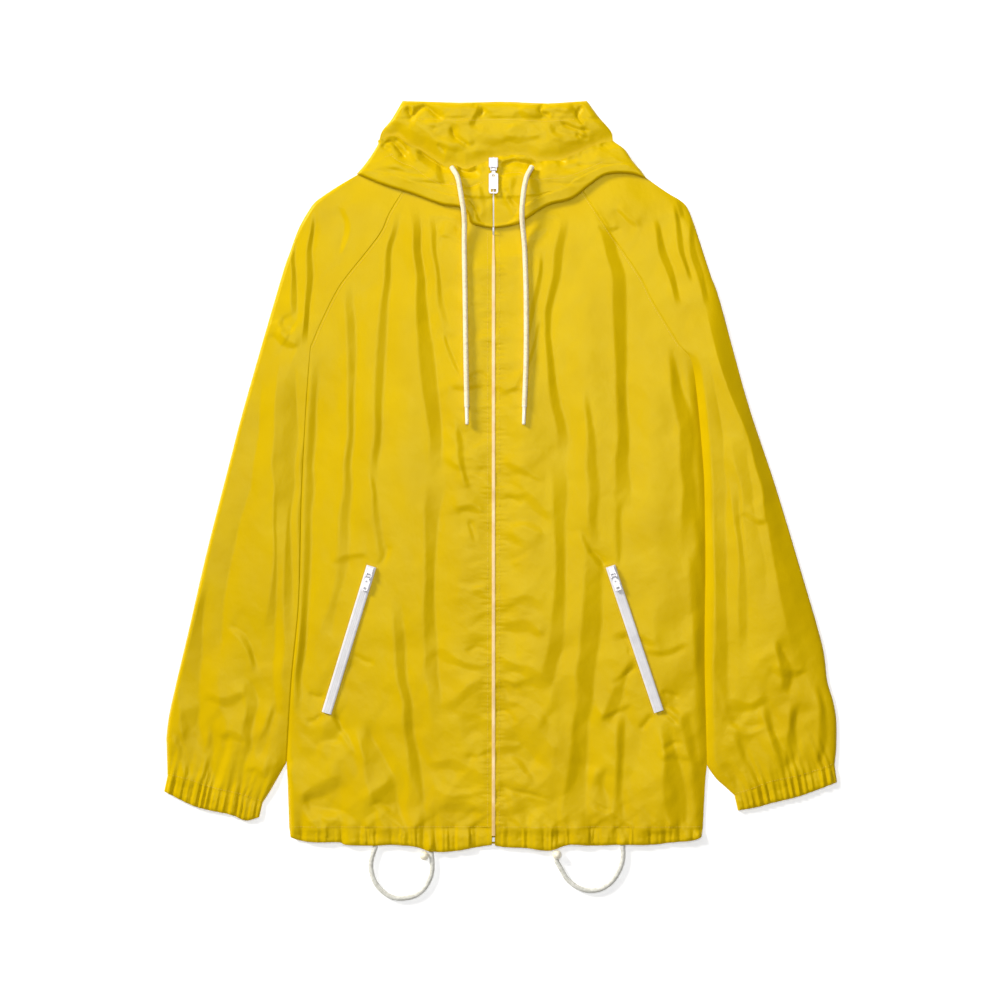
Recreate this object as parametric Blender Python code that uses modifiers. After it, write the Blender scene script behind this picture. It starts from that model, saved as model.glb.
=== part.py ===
"""A hooded raglan rain jacket of thin nylon, laid flat on its back with the front zip closed.

The jacket lies on z = 0. The origin is on the centre front, half way down the jacket, on the underside
of the back panel. +X is the wearer's left, +Y points to the hood and +Z is up. Every number is in
millimetres until a mesh is made, and MM turns it into metres.
"""

import math

import bmesh
import bpy
import numpy as np
from mathutils import Matrix, Vector
from mathutils.bvhtree import BVHTree

MM = 0.001

# Walls and gaps.
CLOTH = 1.2  # wall of the upper layer
UNDER = 1.4  # wall of the layer that rests on the floor
GAP = 0.3  # between two pieces that touch
SEAM = GAP / 2  # each side of a seam
TUCK = 1.0  # how far the under layer stays inside the outline
EDGE = UNDER + GAP + CLOTH  # top of the upper layer where it closes onto the under layer
LOFT = 6.4  # top of the upper layer away from edges and folds
ROLL = 15.0  # how far in from an edge the cloth still rises
NECK_ROLL = 26.0  # the same at the neck, under the hood
WING_RIM = 6.6  # top of the hood's wings at the face edge
WING_CREST = 17.0  # and above their lower fold
WING_ROLL = 9.0
CHIN_DIP = 0.7  # the share of that rise that is lost beside the zip
CHIN_WIDTH = 24.0
SAG = 26.0  # how fast a wing falls towards the face edge

# Zips, pulls and cords.
ZIP_WIDTH = 3.0
ZIP_CLOSED_WIDTH = 1.0  # where the hood's front edges close over the coil
ZIP_WALL = 1.6
TAPE_WIDTH = 10.0
TAPE_WALL = 1.2
PIN_RADIUS = 0.8
PIN_BORE = 1.15
KNUCKLE_RADIUS = 1.9
KNUCKLE_WIDTH = 4.4
EAR_WIDTH = 1.2
EAR_GAP = 0.4
SLIDER_HEIGHT = 3.2
SLIDER_CLEAR = 0.6  # between the knuckle and the slider's body
PIN_HEIGHT = 2.7  # above the slider's underside
PULL_WALL = 1.5
PLATE_START = -3.8  # the pull's plate begins this far from the pin, clear of the ears
CORD = 6.0
TIP = 4.6
TIP_LENGTH = 23.0
BEAD = 11.0
CORD_STEP = 14.0
CORD_SIDES = 2  # bevel resolution

ZIP_TOP = 382.0
ZIP_BOTTOM = -438.0
ZIP_OPENS = 293.0  # below this the coil shows between the fronts
HEM_SEAM = -422.0
STOP_LENGTH = 5.0

# Outlines, as (x, y) read from top to bottom or from left to right.
NECK_LEFT = ((-103, 350), (-62, 334), (-43, 330), (-30, 322), (-23, 304), (-13, 297), (-2, 295))
NECK_RIGHT = ((2, 295), (14, 297), (29, 303), (38, 317), (62, 332), (88, 341), (101, 351))
NECK_SLEEVE_LEFT = ((-162, 362), (-150, 361), (-131, 358), (-103, 350))
NECK_SLEEVE_RIGHT = ((101, 351), (134, 366), (163, 368), (182, 358))
NECK_BACK = ((-103, 350), (-50, 341), (0, 338), (50, 341), (101, 351))
NECK_BACK_LEFT = ((-162, 361), (-103, 350))
NECK_BACK_RIGHT = ((101, 351), (182, 356))
RAGLAN_LEFT = ((-103, 350), (-124, 316), (-137, 288), (-175, 240), (-188, 221), (-205, 187), (-219, 154))
RAGLAN_RIGHT = ((101, 351), (117, 326), (149, 278), (176, 238), (188, 214), (202, 190), (223, 156))
SIDE_LEFT = ((-219, 154), (-223, 103), (-226, 55), (-230, -29), (-233, -149), (-242, -248), (-248, -343))
SIDE_RIGHT = ((223, 156), (237, 138), (244, 95), (251, 19), (253, -23), (254, -112), (253, -217), (256, -347))
FLANK_LEFT = ((-248, -343), (-247, -365), (-245, HEM_SEAM))
FLANK_RIGHT = ((256, -347), (254, -365), (251, HEM_SEAM))
OUTER_LEFT = (
    (-162, 362), (-189, 346), (-212, 330), (-221, 319), (-233, 298), (-244, 269), (-256, 233), (-297, 91),
    (-316, 19), (-344, -91), (-364, -178), (-381, -250), (-389, -287), (-392, -311), (-392, -325), (-391, -359),
)  # fmt: skip
OUTER_RIGHT = (
    (182, 358), (208, 340), (227, 328), (236, 314), (247, 282), (260, 242), (272, 208), (304, 91),
    (338, -12), (369, -115), (394, -202), (400, -245), (407, -269), (411, -293), (411, -325), (409, -346),
)  # fmt: skip
INNER_LEFT = ((-248, -343), (-260, -364), (-268, -378), (-277, -392))
INNER_RIGHT = ((256, -347), (261, -355), (268, -364), (277, -372), (289, -383))
WRIST_LEFT = ((-391, -359), (-363, -366), (-344, -373), (-326, -378), (-303, -383), (-277, -392))
WRIST_RIGHT = ((289, -383), (308, -377), (332, -368), (361, -362), (386, -355), (409, -346))
CUFF_LEFT = ((-395, -378), (-363, -394), (-344, -400), (-315, -406), (-297, -413), (-281, -409))
CUFF_RIGHT = ((293, -401), (316, -397), (334, -392), (363, -385), (386, -377), (412, -367))
HEM_LEFT = (
    (-243, -433), (-232, -437), (-215, -439), (-185, -439), (-177, -442), (-145, -443), (-122, -442),
    (-95, -444), (-75, -450), (-51, -450), (-26, -446), (-2, -442),
)  # fmt: skip
HEM_RIGHT = (
    (2, -443), (14, -445), (40, -446), (67, -449), (91, -442), (119, -443), (151, -442), (189, -442),
    (215, -439), (238, -437), (249, -433),
)  # fmt: skip
CROWN = ((-109, 450), (-41, 448), (14, 449), (65, 447), (112, 450))
TEMPLE_LEFT = ((-109, 450), (-122, 428), (-134, 413), (-139, 397), (-151, 378), (-162, 363))
TEMPLE_RIGHT = ((112, 450), (125, 432), (141, 413), (144, 401), (157, 392), (166, 379), (176, 367), (182, 358))
FACE_LEFT = ((-139, 402), (-118, 407), (-101, 395), (-87, 390), (-61, 372), (-46, 372), (-33, 368), (-2, 380))
FACE_RIGHT = ((2, 382), (20, 385), (40, 384), (52, 377), (64, 378), (81, 379), (104, 388), (124, 397), (143, 402))
WING_SIDE_LEFT = ((-139, 402), (-139, 397), (-151, 378), (-164, 362))
WING_SIDE_RIGHT = ((143, 402), (157, 392), (166, 379), (176, 367), (184, 356))
WING_FOLD_LEFT = (
    (-164, 362), (-133, 349), (-98, 338), (-62, 325), (-41, 322), (-31, 314), (-27, 303), (-14, 299), (-1, 297),
)  # fmt: skip
WING_FOLD_RIGHT = (
    (1, 297), (15, 299), (30, 302), (41, 309), (65, 324), (94, 332), (115, 348), (136, 361), (164, 362), (184, 356),
)  # fmt: skip

# Where the upper layer closes onto the under layer: (line, roll).
ROLLED_EDGES = (
    (OUTER_LEFT, ROLL),
    (OUTER_RIGHT, ROLL),
    (SIDE_LEFT + FLANK_LEFT[1:], ROLL),
    (SIDE_RIGHT + FLANK_RIGHT[1:], ROLL),
    (INNER_LEFT, ROLL),
    (INNER_RIGHT, ROLL),
    (NECK_LEFT, NECK_ROLL),
    (NECK_RIGHT, NECK_ROLL),
    (NECK_SLEEVE_LEFT, NECK_ROLL),
    (NECK_SLEEVE_RIGHT, NECK_ROLL),
)

# The largest folds of fronts and sleeves: (height, half width, path). Below zero is a trough.
FOLDS = (
    (-1.7, 12, RAGLAN_LEFT),
    (-1.7, 12, RAGLAN_RIGHT),
    (-3.4, 15, ((-175, 240), (-171, 112), (-177, 28), (-178, -101))),
    (-3.0, 14, ((-116, 316), (-127, 265), (-128, 196), (-136, 112), (-142, 13))),
    (-3.4, 14, ((-95, 290), (-87, 223), (-82, 139), (-73, 55), (-70, 7), (-74, -83), (-76, -218))),
    (-2.4, 13, ((-116, -163), (-109, -248), (-99, -324), (-96, -400))),
    (-3.4, 14, ((-194, -284), (-169, -330), (-139, -396))),
    (2.2, 20, ((-150, 200), (-152, 60), (-150, -60))),
    (2.0, 20, ((-106, 240), (-106, 120), (-104, -40))),
    (2.2, 22, ((-40, 150), (-38, -60), (-42, -250))),
    (-3.4, 14, ((121, 310), (141, 278), (149, 244), (155, 184), (154, 95), (155, 6), (151, -106))),
    (-3.0, 14, ((87, 288), (81, 228), (69, 184), (71, 139), (79, 80), (81, -17), (79, -157), (69, -257))),
    (-2.8, 14, ((115, -151), (111, -217), (103, -278), (93, -370))),
    (-3.2, 13, ((166, -229), (148, -263), (156, -310), (151, -400))),
    (-2.6, 14, ((197, 302), (206, 264), (220, 211))),
    (-2.6, 13, ((213, 149), (220, 110), (230, 78), (230, -23))),
    (2.2, 20, ((112, 220), (116, 60), (114, -80))),
    (2.0, 20, ((190, 120), (194, -30), (200, -160))),
    (2.2, 20, ((38, 140), (40, -80), (36, -260))),
    (3.4, 34, ((-232, 230), (-270, 60), (-310, -110), (-336, -290))),
    (3.4, 34, ((240, 220), (282, 60), (322, -110), (344, -290))),
    (-2.6, 13, ((-362, -217), (-367, -324))),
    (-2.4, 13, ((-293, -278), (-303, -336))),
    (-2.6, 13, ((333, -302), (347, -350))),
    (-2.4, 13, ((388, -263), (392, -308))),
)

# Folds of the hood: inside of the middle panel, then the wings.
HOOD_FOLDS = (
    (2.4, 13, ((-96, 436), (-70, 420), (-44, 424))),
    (-2.0, 12, ((-60, 428), (-10, 434), (60, 428))),
    (2.2, 14, ((30, 414), (80, 420), (104, 428))),
)
WING_FOLDS = (
    (-3.0, 11, ((-128, 388), (-104, 372), (-84, 352))),
    (-2.6, 10, ((-62, 366), (-58, 346), (-48, 332))),
    (-2.4, 9, ((-36, 350), (-22, 326))),
    (-3.0, 11, ((62, 374), (88, 362), (110, 364))),
    (-2.6, 10, ((52, 366), (50, 344), (58, 334))),
    (-2.4, 9, ((26, 356), (22, 330))),
    (-2.6, 11, ((124, 388), (142, 378), (166, 372))),
)

# Routes of the cords, seen from above.
HOOD_CORD_LEFT = ((-50, 370), (-43, 357), (-38, 331), (-35, 308), (-35, 276), (-34, 218), (-33, 143), (-32, 84))
HOOD_CORD_RIGHT = ((46, 370), (39, 355), (35, 331), (34, 308), (37, 276), (39, 218), (39, 143), (37, 84))
HEM_LOOP_LEFT = (
    (-146, -458), (-147, -470), (-143, -485), (-134, -497), (-121, -505), (-106, -506), (-92, -502),
    (-82, -493), (-75, -479), (-73.5, -466),
)  # fmt: skip
HEM_LOOP_RIGHT = (
    (81, -472), (87, -482), (98, -492), (112, -498), (119, -498), (131, -494), (143, -485), (151, -472),
    (155, -458),
)  # fmt: skip
BEAD_LEFT_X = -82.9
BEAD_RIGHT_X = 76.0

# Zips: where the closed slider's middle lies, and the axis of each pocket from its top to its bottom.
SLIDER_AT = (0, 375)
POCKET_LEFT = ((-146, -108), (-200, -284))
POCKET_RIGHT = ((140, -108), (198, -282))

# Zip hardware: (slider width, slider length, pull width, pull length, hole radius, slot width, slot height).
FRONT_PULL = (11.0, 12.0, 11.0, 29.0, 1.7, 6.0, 3.6)
POCKET_PULL = (8.0, 9.0, 8.0, 18.0, 1.0, 4.0, 2.4)

# Counts of gathers and of mesh cells.
CUFF_GATHERS = 13
CUFF_WAVE = 1.3
HEM_GATHERS = 13
HEM_WAVE = 1.0
CELLS_PER_GATHER = 4
FRONT_COLUMNS = 15
SLEEVE_COLUMNS = 8
UNDER_COLUMNS = 2  # of the sleeves' flat under halves
RAGLAN_ROWS = 8
SIDE_ROWS = 15
FLANK_ROWS = 3
INNER_ROWS = 2
WING_COLUMNS = 14
WING_ROWS = 7
HOOD_COLUMNS = 14
NECK_CELLS = 6
HOOD_ROWS = 8

# Materials: name, colour, roughness, metallic.
SHELL = ("shell_cloth", (0.70, 0.47, 0.012), 0.42, 0.0)
TAPE = ("zip_tape", (0.80, 0.78, 0.84), 0.70, 0.0)
HARDWARE = ("zip_hardware", (0.82, 0.82, 0.85), 0.30, 0.0)
BRAID = ("cord", (0.84, 0.77, 0.68), 0.75, 0.0)
PLASTIC = ("cord_fittings", (0.86, 0.82, 0.74), 0.30, 0.0)


def clear_scene():
    """Remove every object and start the collection of the jacket."""
    for old in list(bpy.data.objects):
        bpy.data.objects.remove(old, do_unlink=True)
    jacket = bpy.data.collections.new("rain_jacket")
    cutters = bpy.data.collections.new("cutters")
    for made in (jacket, cutters):
        bpy.context.scene.collection.children.link(made)
    return jacket, cutters


JACKET, CUTTERS = clear_scene()


def material(spec):
    """A Principled material from its name, colour, roughness and metallic value."""
    name, colour, roughness, metallic = spec
    made = bpy.data.materials.get(name) or bpy.data.materials.new(name)
    made.use_nodes = True
    shader = made.node_tree.nodes["Principled BSDF"]
    shader.inputs["Base Color"].default_value = (*colour, 1.0)
    shader.inputs["Roughness"].default_value = roughness
    shader.inputs["Metallic"].default_value = metallic
    return made


def add_object(name, data, finish):
    """Put a mesh or a curve in the jacket's collection."""
    made = bpy.data.objects.new(name, data)
    made.data.materials.append(material(finish))
    JACKET.objects.link(made)
    return made


# --- lines ---------------------------------------------------------------------------------------


def resample(line, count):
    """The line as count + 1 points, evenly spaced along it."""
    line = np.asarray(line, float)
    along = np.concatenate([[0], np.cumsum(np.linalg.norm(np.diff(line, axis=0), axis=1))])
    at = np.linspace(0, along[-1], count + 1)
    return np.stack([np.interp(at, along, column) for column in line.T], axis=1)


def smooth(points, count):
    """A curve through the points, as count + 1 evenly spaced points."""
    points = np.asarray(points, float)
    ends = np.vstack([2 * points[0] - points[1], points, 2 * points[-1] - points[-2]])
    curve = []
    for before, start, stop, after in zip(ends, ends[1:], ends[2:], ends[3:]):
        for t in np.linspace(0, 1, 8, endpoint=False):
            bend = 2 * before - 5 * start + 4 * stop - after
            turn = 3 * start - before - 3 * stop + after
            curve.append(start + 0.5 * t * (stop - before + t * (bend + t * turn)))
    return resample(np.vstack([curve, points[-1:]]), count)


def fit(line, count):
    """The line itself if it has count + 1 points, or else resampled."""
    return line if len(line) == count + 1 else resample(line, count)


def shift(line, distance):
    """The line moved to its left, as seen along it."""
    along = np.gradient(line, axis=0)
    along /= np.linalg.norm(along, axis=1)[:, None]
    return line + distance * np.stack([-along[:, 1], along[:, 0]], axis=1)


def trim(line, length):
    """The line without that length at each end."""
    trimmed = np.array(line, float)
    for end, next_to in ((0, 1), (-1, -2)):
        way = line[next_to] - line[end]
        trimmed[end] += way / np.linalg.norm(way) * length
    return trimmed


def join(*lines):
    """Lines that meet end to end, as one."""
    return np.vstack([lines[0]] + [line[1:] for line in lines[1:]])


def distance_to(points, line):
    """How far each (x, y) is from a line of points."""
    line = np.asarray(line, float)
    best = np.full(len(points), np.inf)
    for start, stop in zip(line, line[1:]):
        run = stop - start
        t = np.clip((points - start) @ run / (run @ run), 0, 1)
        best = np.minimum(best, np.linalg.norm(points - start - t[:, None] * run, axis=1))
    return best


# --- heights -------------------------------------------------------------------------------------


def fold_height(points, folds):
    """The sum of the folds at each point."""
    total = np.zeros(len(points))
    for height, half_width, path in folds:
        total += height * np.exp(-((distance_to(points, path) / half_width) ** 2))
    return total


def front_height(points):
    """The top of the fronts and sleeves, which closes onto the under layer at the rolled edges."""
    rise = np.ones(len(points))
    for line, roll in ROLLED_EDGES:
        rise *= 1 - np.exp(-((distance_to(points, line) / roll) ** 2))
    return np.maximum(EDGE, EDGE + rise * (LOFT - EDGE + fold_height(points, FOLDS)))


def under_height(points):
    """The flat top of the under layer."""
    return np.full(len(points), UNDER)


def hood_height(points):
    """The inside of the hood's middle panel: flat under the wings, puffed between face edge and crown."""
    face = np.array(FACE_LEFT + FACE_RIGHT, float)
    above = points[:, 1] > np.interp(points[:, 0], face[:, 0], face[:, 1])
    rise = np.where(above, 1 - np.exp(-((distance_to(points, face) / 20) ** 2)), 0.0)
    for line in (CROWN, TEMPLE_LEFT, TEMPLE_RIGHT):
        rise *= 1 - np.exp(-((distance_to(points, line) / 10) ** 2))
    return UNDER + rise * np.maximum(0, 4.0 + fold_height(points, HOOD_FOLDS))


def gathers(columns, rows, count, wave):
    """The ripple of an elastic or corded channel, largest half way down it."""
    across = np.cos(2 * math.pi * count * np.arange(columns + 1) / columns)
    down = 0.55 + 0.45 * np.sin(math.pi * np.arange(rows + 1) / rows)
    return wave * np.outer(down, across).ravel()


# --- shells --------------------------------------------------------------------------------------


def patch(top, bottom, left, right, columns, rows):
    """Points spread between four edges, row by row from the top, each row from left to right."""
    top, bottom = fit(top, columns), fit(bottom, columns)
    left, right = fit(left, rows), fit(right, rows)
    u = np.linspace(0, 1, columns + 1)[None, :, None]
    v = np.linspace(0, 1, rows + 1)[:, None, None]
    across = (1 - v) * top[None] + v * bottom[None]
    down = (1 - u) * left[:, None] + u * right[:, None]
    upper = (1 - u) * top[0] + u * top[-1]
    lower = (1 - u) * bottom[0] + u * bottom[-1]
    return (across + down - (1 - v) * upper - v * lower).reshape(-1, 2)


def shell(name, flat, heights, columns, rows, wall, finish=SHELL):
    """A wall of cloth: an open surface through the grid, thickened downwards."""
    points = np.column_stack([flat, heights]) * MM
    start = [row * (columns + 1) + column for row in range(rows) for column in range(columns)]
    faces = [(i, i + columns + 1, i + columns + 2, i + 1) for i in start]
    mesh = bpy.data.meshes.new(name)
    mesh.from_pydata(points.tolist(), [], faces)
    mesh.shade_smooth()
    made = add_object(name, mesh, finish)
    thicken = made.modifiers.new("wall", "SOLIDIFY")
    thicken.thickness = wall * MM
    thicken.offset = -1
    return made


def ground(*objects):
    """A function that gives the highest point of these open surfaces at (x, y), or the floor."""
    trees = [
        BVHTree.FromPolygons(
            [tuple(v.co / MM) for v in made.data.vertices], [tuple(p.vertices) for p in made.data.polygons]
        )
        for made in objects
    ]

    def height(x, y, reach=0.0):
        best = 0.0
        around = [(0.0, 0.0)]
        if reach:
            around += [(reach * math.cos(a), reach * math.sin(a)) for a in np.arange(0, 2 * math.pi, math.pi / 4)]
        for dx, dy in around:
            for tree in trees:
                hit = tree.ray_cast(Vector((x + dx, y + dy, 500)), Vector((0, 0, -1)))[0]
                if hit is not None:
                    best = max(best, hit.z)
        return best

    return height


# --- cloth ---------------------------------------------------------------------------------------


def seam_lines():
    """The lines that two pieces share, sampled once so that both follow the same points."""
    return {
        "raglan_left": smooth(RAGLAN_LEFT, RAGLAN_ROWS),
        "raglan_right": smooth(RAGLAN_RIGHT, RAGLAN_ROWS),
        "side_left": smooth(SIDE_LEFT, SIDE_ROWS),
        "side_right": smooth(SIDE_RIGHT, SIDE_ROWS),
        "wrist_left": smooth(WRIST_LEFT, SLEEVE_COLUMNS),
        "wrist_right": smooth(WRIST_RIGHT, SLEEVE_COLUMNS),
        "neck_back": smooth(NECK_BACK, NECK_CELLS),
    }


LINES = seam_lines()


def build_fronts():
    """The two front panels, between the zip, the neck, the raglan and side seams and the hem channel."""
    rows = RAGLAN_ROWS + SIDE_ROWS + FLANK_ROWS
    zip_side = ZIP_WIDTH / 2 + GAP
    outer_left = join(LINES["raglan_left"], LINES["side_left"], smooth(FLANK_LEFT, FLANK_ROWS))
    outer_right = join(LINES["raglan_right"], LINES["side_right"], smooth(FLANK_RIGHT, FLANK_ROWS))
    made = []
    for name, neck, outer, side in (
        ("front_right", NECK_LEFT, outer_left, -1),
        ("front_left", NECK_RIGHT, outer_right, 1),
    ):
        middle = np.array([(side * zip_side, 294.5), (side * zip_side, HEM_SEAM)])
        outside = shift(outer, -side * SEAM)
        bottom = np.array([outside[-1], middle[-1]] if side < 0 else [middle[-1], outside[-1]])
        left, right = (outside, middle) if side < 0 else (middle, outside)
        flat = patch(smooth(neck, FRONT_COLUMNS), bottom, left, right, FRONT_COLUMNS, rows)
        made.append(shell(name, flat, front_height(flat), FRONT_COLUMNS, rows, CLOTH))
    return made


def build_sleeves():
    """The upper and under halves of both raglan sleeves, from neck to wrist."""
    rows = RAGLAN_ROWS + SIDE_ROWS + INNER_ROWS
    inner_left = join(LINES["raglan_left"], LINES["side_left"], smooth(INNER_LEFT, INNER_ROWS))
    inner_right = join(LINES["raglan_right"], LINES["side_right"], smooth(INNER_RIGHT, INNER_ROWS))
    uppers = []
    for wearer, neck, back_neck, outer, inner, side in (
        ("right", NECK_SLEEVE_LEFT, NECK_BACK_LEFT, OUTER_LEFT, inner_left, -1),
        ("left", NECK_SLEEVE_RIGHT, NECK_BACK_RIGHT, OUTER_RIGHT, inner_right, 1),
    ):
        outer = smooth(outer, rows)
        wrist = LINES["wrist_left"] if side < 0 else LINES["wrist_right"]
        for layer, inset, top, height, wall, columns in (
            ("front", 0.0, smooth(neck, SLEEVE_COLUMNS), front_height, CLOTH, SLEEVE_COLUMNS),
            ("back", TUCK, np.array(back_neck, float), under_height, UNDER, UNDER_COLUMNS),
        ):
            left = shift(outer if side < 0 else inner, inset if side < 0 else -SEAM)
            right = shift(inner if side < 0 else outer, SEAM if side < 0 else -inset)
            bottom = trim(resample(wrist, columns), inset) + (0, SEAM)
            left[-1], right[-1] = bottom[0], bottom[-1]
            top = shift(top, -SEAM)
            if side < 0:
                left[0] = top[0]
            else:
                right[0] = top[-1]
            flat = patch(top, bottom, left, right, columns, rows)
            made = shell(f"sleeve_{layer}_{wearer}", flat, height(flat), columns, rows, wall)
            if layer == "front":
                uppers.append(made)
    return uppers


def build_back():
    """The back panel, flat on the floor."""
    rows = RAGLAN_ROWS + SIDE_ROWS + FLANK_ROWS
    left = shift(join(LINES["raglan_left"], LINES["side_left"], smooth(FLANK_LEFT, FLANK_ROWS)), SEAM + TUCK)
    right = shift(join(LINES["raglan_right"], LINES["side_right"], smooth(FLANK_RIGHT, FLANK_ROWS)), -SEAM - TUCK)
    flat = patch(LINES["neck_back"] - (0, SEAM), np.array([left[-1], right[-1]]), left, right, NECK_CELLS, rows)
    return shell("back_panel", flat, under_height(flat), NECK_CELLS, rows, UNDER)


def build_cuffs():
    """Gathered elastic cuffs, an upper and an under half each."""
    columns = CUFF_GATHERS * CELLS_PER_GATHER
    for wearer, wrist, edge in (
        ("right", LINES["wrist_left"], CUFF_LEFT),
        ("left", LINES["wrist_right"], CUFF_RIGHT),
    ):
        for layer, cells, count, inset, wall in (
            ("front", SLEEVE_COLUMNS, columns, 0.0, CLOTH),
            ("back", UNDER_COLUMNS, 12, TUCK, UNDER),
        ):
            top = trim(resample(wrist, cells), inset) - (0, SEAM)
            bottom = trim(smooth(edge, count), inset) + (0, inset)
            left = np.array([top[0], bottom[0]])
            right = np.array([top[-1], bottom[-1]])
            rows = 3 if layer == "front" else 1
            flat = patch(top, bottom, left, right, count, rows)
            if layer == "back":
                shell(f"cuff_back_{wearer}", flat, under_height(flat), count, rows, wall)
                continue
            outline = join(left, bottom)
            rim = np.minimum(distance_to(flat, outline), distance_to(flat, right))
            rise = 1 - np.exp(-((rim / 6) ** 2))
            ripple = gathers(count, rows, CUFF_GATHERS, CUFF_WAVE)
            height = EDGE + 0.1 + CUFF_WAVE * 0.6 + 3.6 * rise + ripple * (0.5 + 0.5 * rise)
            shell(f"cuff_front_{wearer}", flat, height, count, rows, wall)


def build_hem():
    """The hem's cord channel: two ruched upper pieces and a flat under piece."""
    columns = HEM_GATHERS * CELLS_PER_GATHER
    zip_side = ZIP_WIDTH / 2 + GAP
    seam = HEM_SEAM - GAP
    uppers = []
    for name, edge, top in (
        ("hem_front_right", HEM_LEFT, np.array([(-245 + SEAM, seam), (-zip_side, seam)])),
        ("hem_front_left", HEM_RIGHT, np.array([(zip_side, seam), (251 - SEAM, seam)])),
    ):
        bottom = smooth(edge, columns)
        left = np.array([top[0], bottom[0]])
        right = np.array([top[-1], bottom[-1]])
        flat = patch(top, bottom, left, right, columns, 3)
        rim = np.minimum(distance_to(flat, bottom), 40.0)
        rise = 1 - np.exp(-((rim / 7) ** 2))
        ripple = gathers(columns, 3, HEM_GATHERS, HEM_WAVE)
        height = EDGE + 0.1 + HEM_WAVE * 0.6 + 2.6 * rise + ripple * (0.4 + 0.6 * rise)
        uppers.append(shell(name, flat, height, columns, 3, CLOTH))
    edge = np.array(HEM_LEFT + HEM_RIGHT, float) + (0, TUCK)
    top = np.array([(-245 + TUCK, seam), (251 - TUCK, seam)], float)
    bottom = resample(edge, 30)
    flat = patch(top, bottom, np.array([top[0], bottom[0]]), np.array([top[1], bottom[-1]]), 30, 1)
    shell("hem_back", flat, under_height(flat), 30, 1, UNDER)
    return uppers


def build_hood_middle():
    """The hood's middle panel, from the crown's cord channel to the back neck seam."""
    beside = (HOOD_COLUMNS - NECK_CELLS) // 2
    neck = join(resample(NECK_BACK_LEFT, beside), LINES["neck_back"], resample(NECK_BACK_RIGHT, beside))
    bottom = neck + (0, SEAM)
    left = smooth(TEMPLE_LEFT, HOOD_ROWS)
    right = smooth(TEMPLE_RIGHT, HOOD_ROWS)
    left[-1], right[-1] = bottom[0], bottom[-1]
    flat = patch(smooth(CROWN, HOOD_COLUMNS), bottom, left, right, HOOD_COLUMNS, HOOD_ROWS)
    return shell("hood_back", flat, hood_height(flat), HOOD_COLUMNS, HOOD_ROWS, UNDER)


def build_wings(below):
    """The hood's two side wings, which fold down over the fronts and sleeves and meet at the zip."""
    support = ground(*below)
    made = []
    middle_x = ZIP_CLOSED_WIDTH / 2 + GAP
    for name, face, side_line, fold, side in (
        ("hood_right", FACE_LEFT, WING_SIDE_LEFT, WING_FOLD_LEFT, -1),
        ("hood_left", FACE_RIGHT, WING_SIDE_RIGHT, WING_FOLD_RIGHT, 1),
    ):
        middle = np.array([(side * middle_x, face[-1][1] if side < 0 else face[0][1]), (side * middle_x, 297)])
        outside = smooth(side_line, WING_ROWS)
        left, right = (outside, middle) if side < 0 else (middle, outside)
        flat = patch(smooth(face, WING_COLUMNS), smooth(fold, WING_COLUMNS), left, right, WING_COLUMNS, WING_ROWS)
        lowest = np.array([support(x, y, 9.0) for x, y in flat]) + GAP + CLOTH + 0.4
        edge = np.minimum(distance_to(flat, smooth(fold, 40)), distance_to(flat, outside))
        climb = 1 - np.exp(-((distance_to(flat, face) / SAG) ** 2))
        chin = 1 - CHIN_DIP * np.exp(-((flat[:, 0] / CHIN_WIDTH) ** 2))
        crest = WING_RIM + (WING_CREST - WING_RIM) * climb * chin + fold_height(flat, WING_FOLDS)
        rise = 1 - np.exp(-((edge / WING_ROLL) ** 2))
        height = lowest + rise * np.maximum(0, crest - lowest)
        made.append(shell(name, flat, height, WING_COLUMNS, WING_ROWS, CLOTH))
    return made


# --- zips ----------------------------------------------------------------------------------------


def ribbon(name, centre, heights, widths, wall, finish):
    """A flat strip along a line, with its own height and width at each point."""
    half = np.asarray(widths, float)[:, None] / 2
    along = np.gradient(centre, axis=0)
    along /= np.linalg.norm(along, axis=1)[:, None]
    across = np.stack([-along[:, 1], along[:, 0]], axis=1)
    flat = np.stack([centre - half * across, centre, centre + half * across], axis=1).reshape(-1, 2)
    return shell(name, flat, np.repeat(heights, 3), 2, len(centre) - 1, wall, finish)


def build_front_zip(fronts, wings):
    """The coil between the fronts, narrower where the hood's edges close over it, and its bottom stop."""
    y = np.concatenate([np.arange(ZIP_TOP, ZIP_OPENS + 4, -9.0), [ZIP_OPENS + 5, ZIP_OPENS - 4]])
    y = np.concatenate([y, np.linspace(ZIP_OPENS - 14, ZIP_BOTTOM + STOP_LENGTH + GAP, 36)])
    centre = np.column_stack([np.zeros(len(y)), y])
    on_fronts, on_wings = ground(*fronts), ground(*wings)
    lower = np.array([max(on_fronts(-3, v), on_fronts(3, v), EDGE) for v in y])
    upper = np.array([max(on_wings(-2, v), on_wings(2, v), 0) for v in y])
    heights = np.where(y > ZIP_OPENS, np.where(upper > 0, upper, upper.max()) - 1.0, lower + 0.2)
    widths = np.where(y > ZIP_OPENS, ZIP_CLOSED_WIDTH, ZIP_WIDTH)
    ribbon("zip_front", centre, heights, widths, ZIP_WALL, TAPE)
    stop = np.array([(0, ZIP_BOTTOM + STOP_LENGTH), (0, ZIP_BOTTOM)], float)
    ribbon("zip_stop", stop, np.full(2, heights[-1] + 0.4), np.full(2, ZIP_WIDTH), ZIP_WALL + 0.4, HARDWARE)


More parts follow.
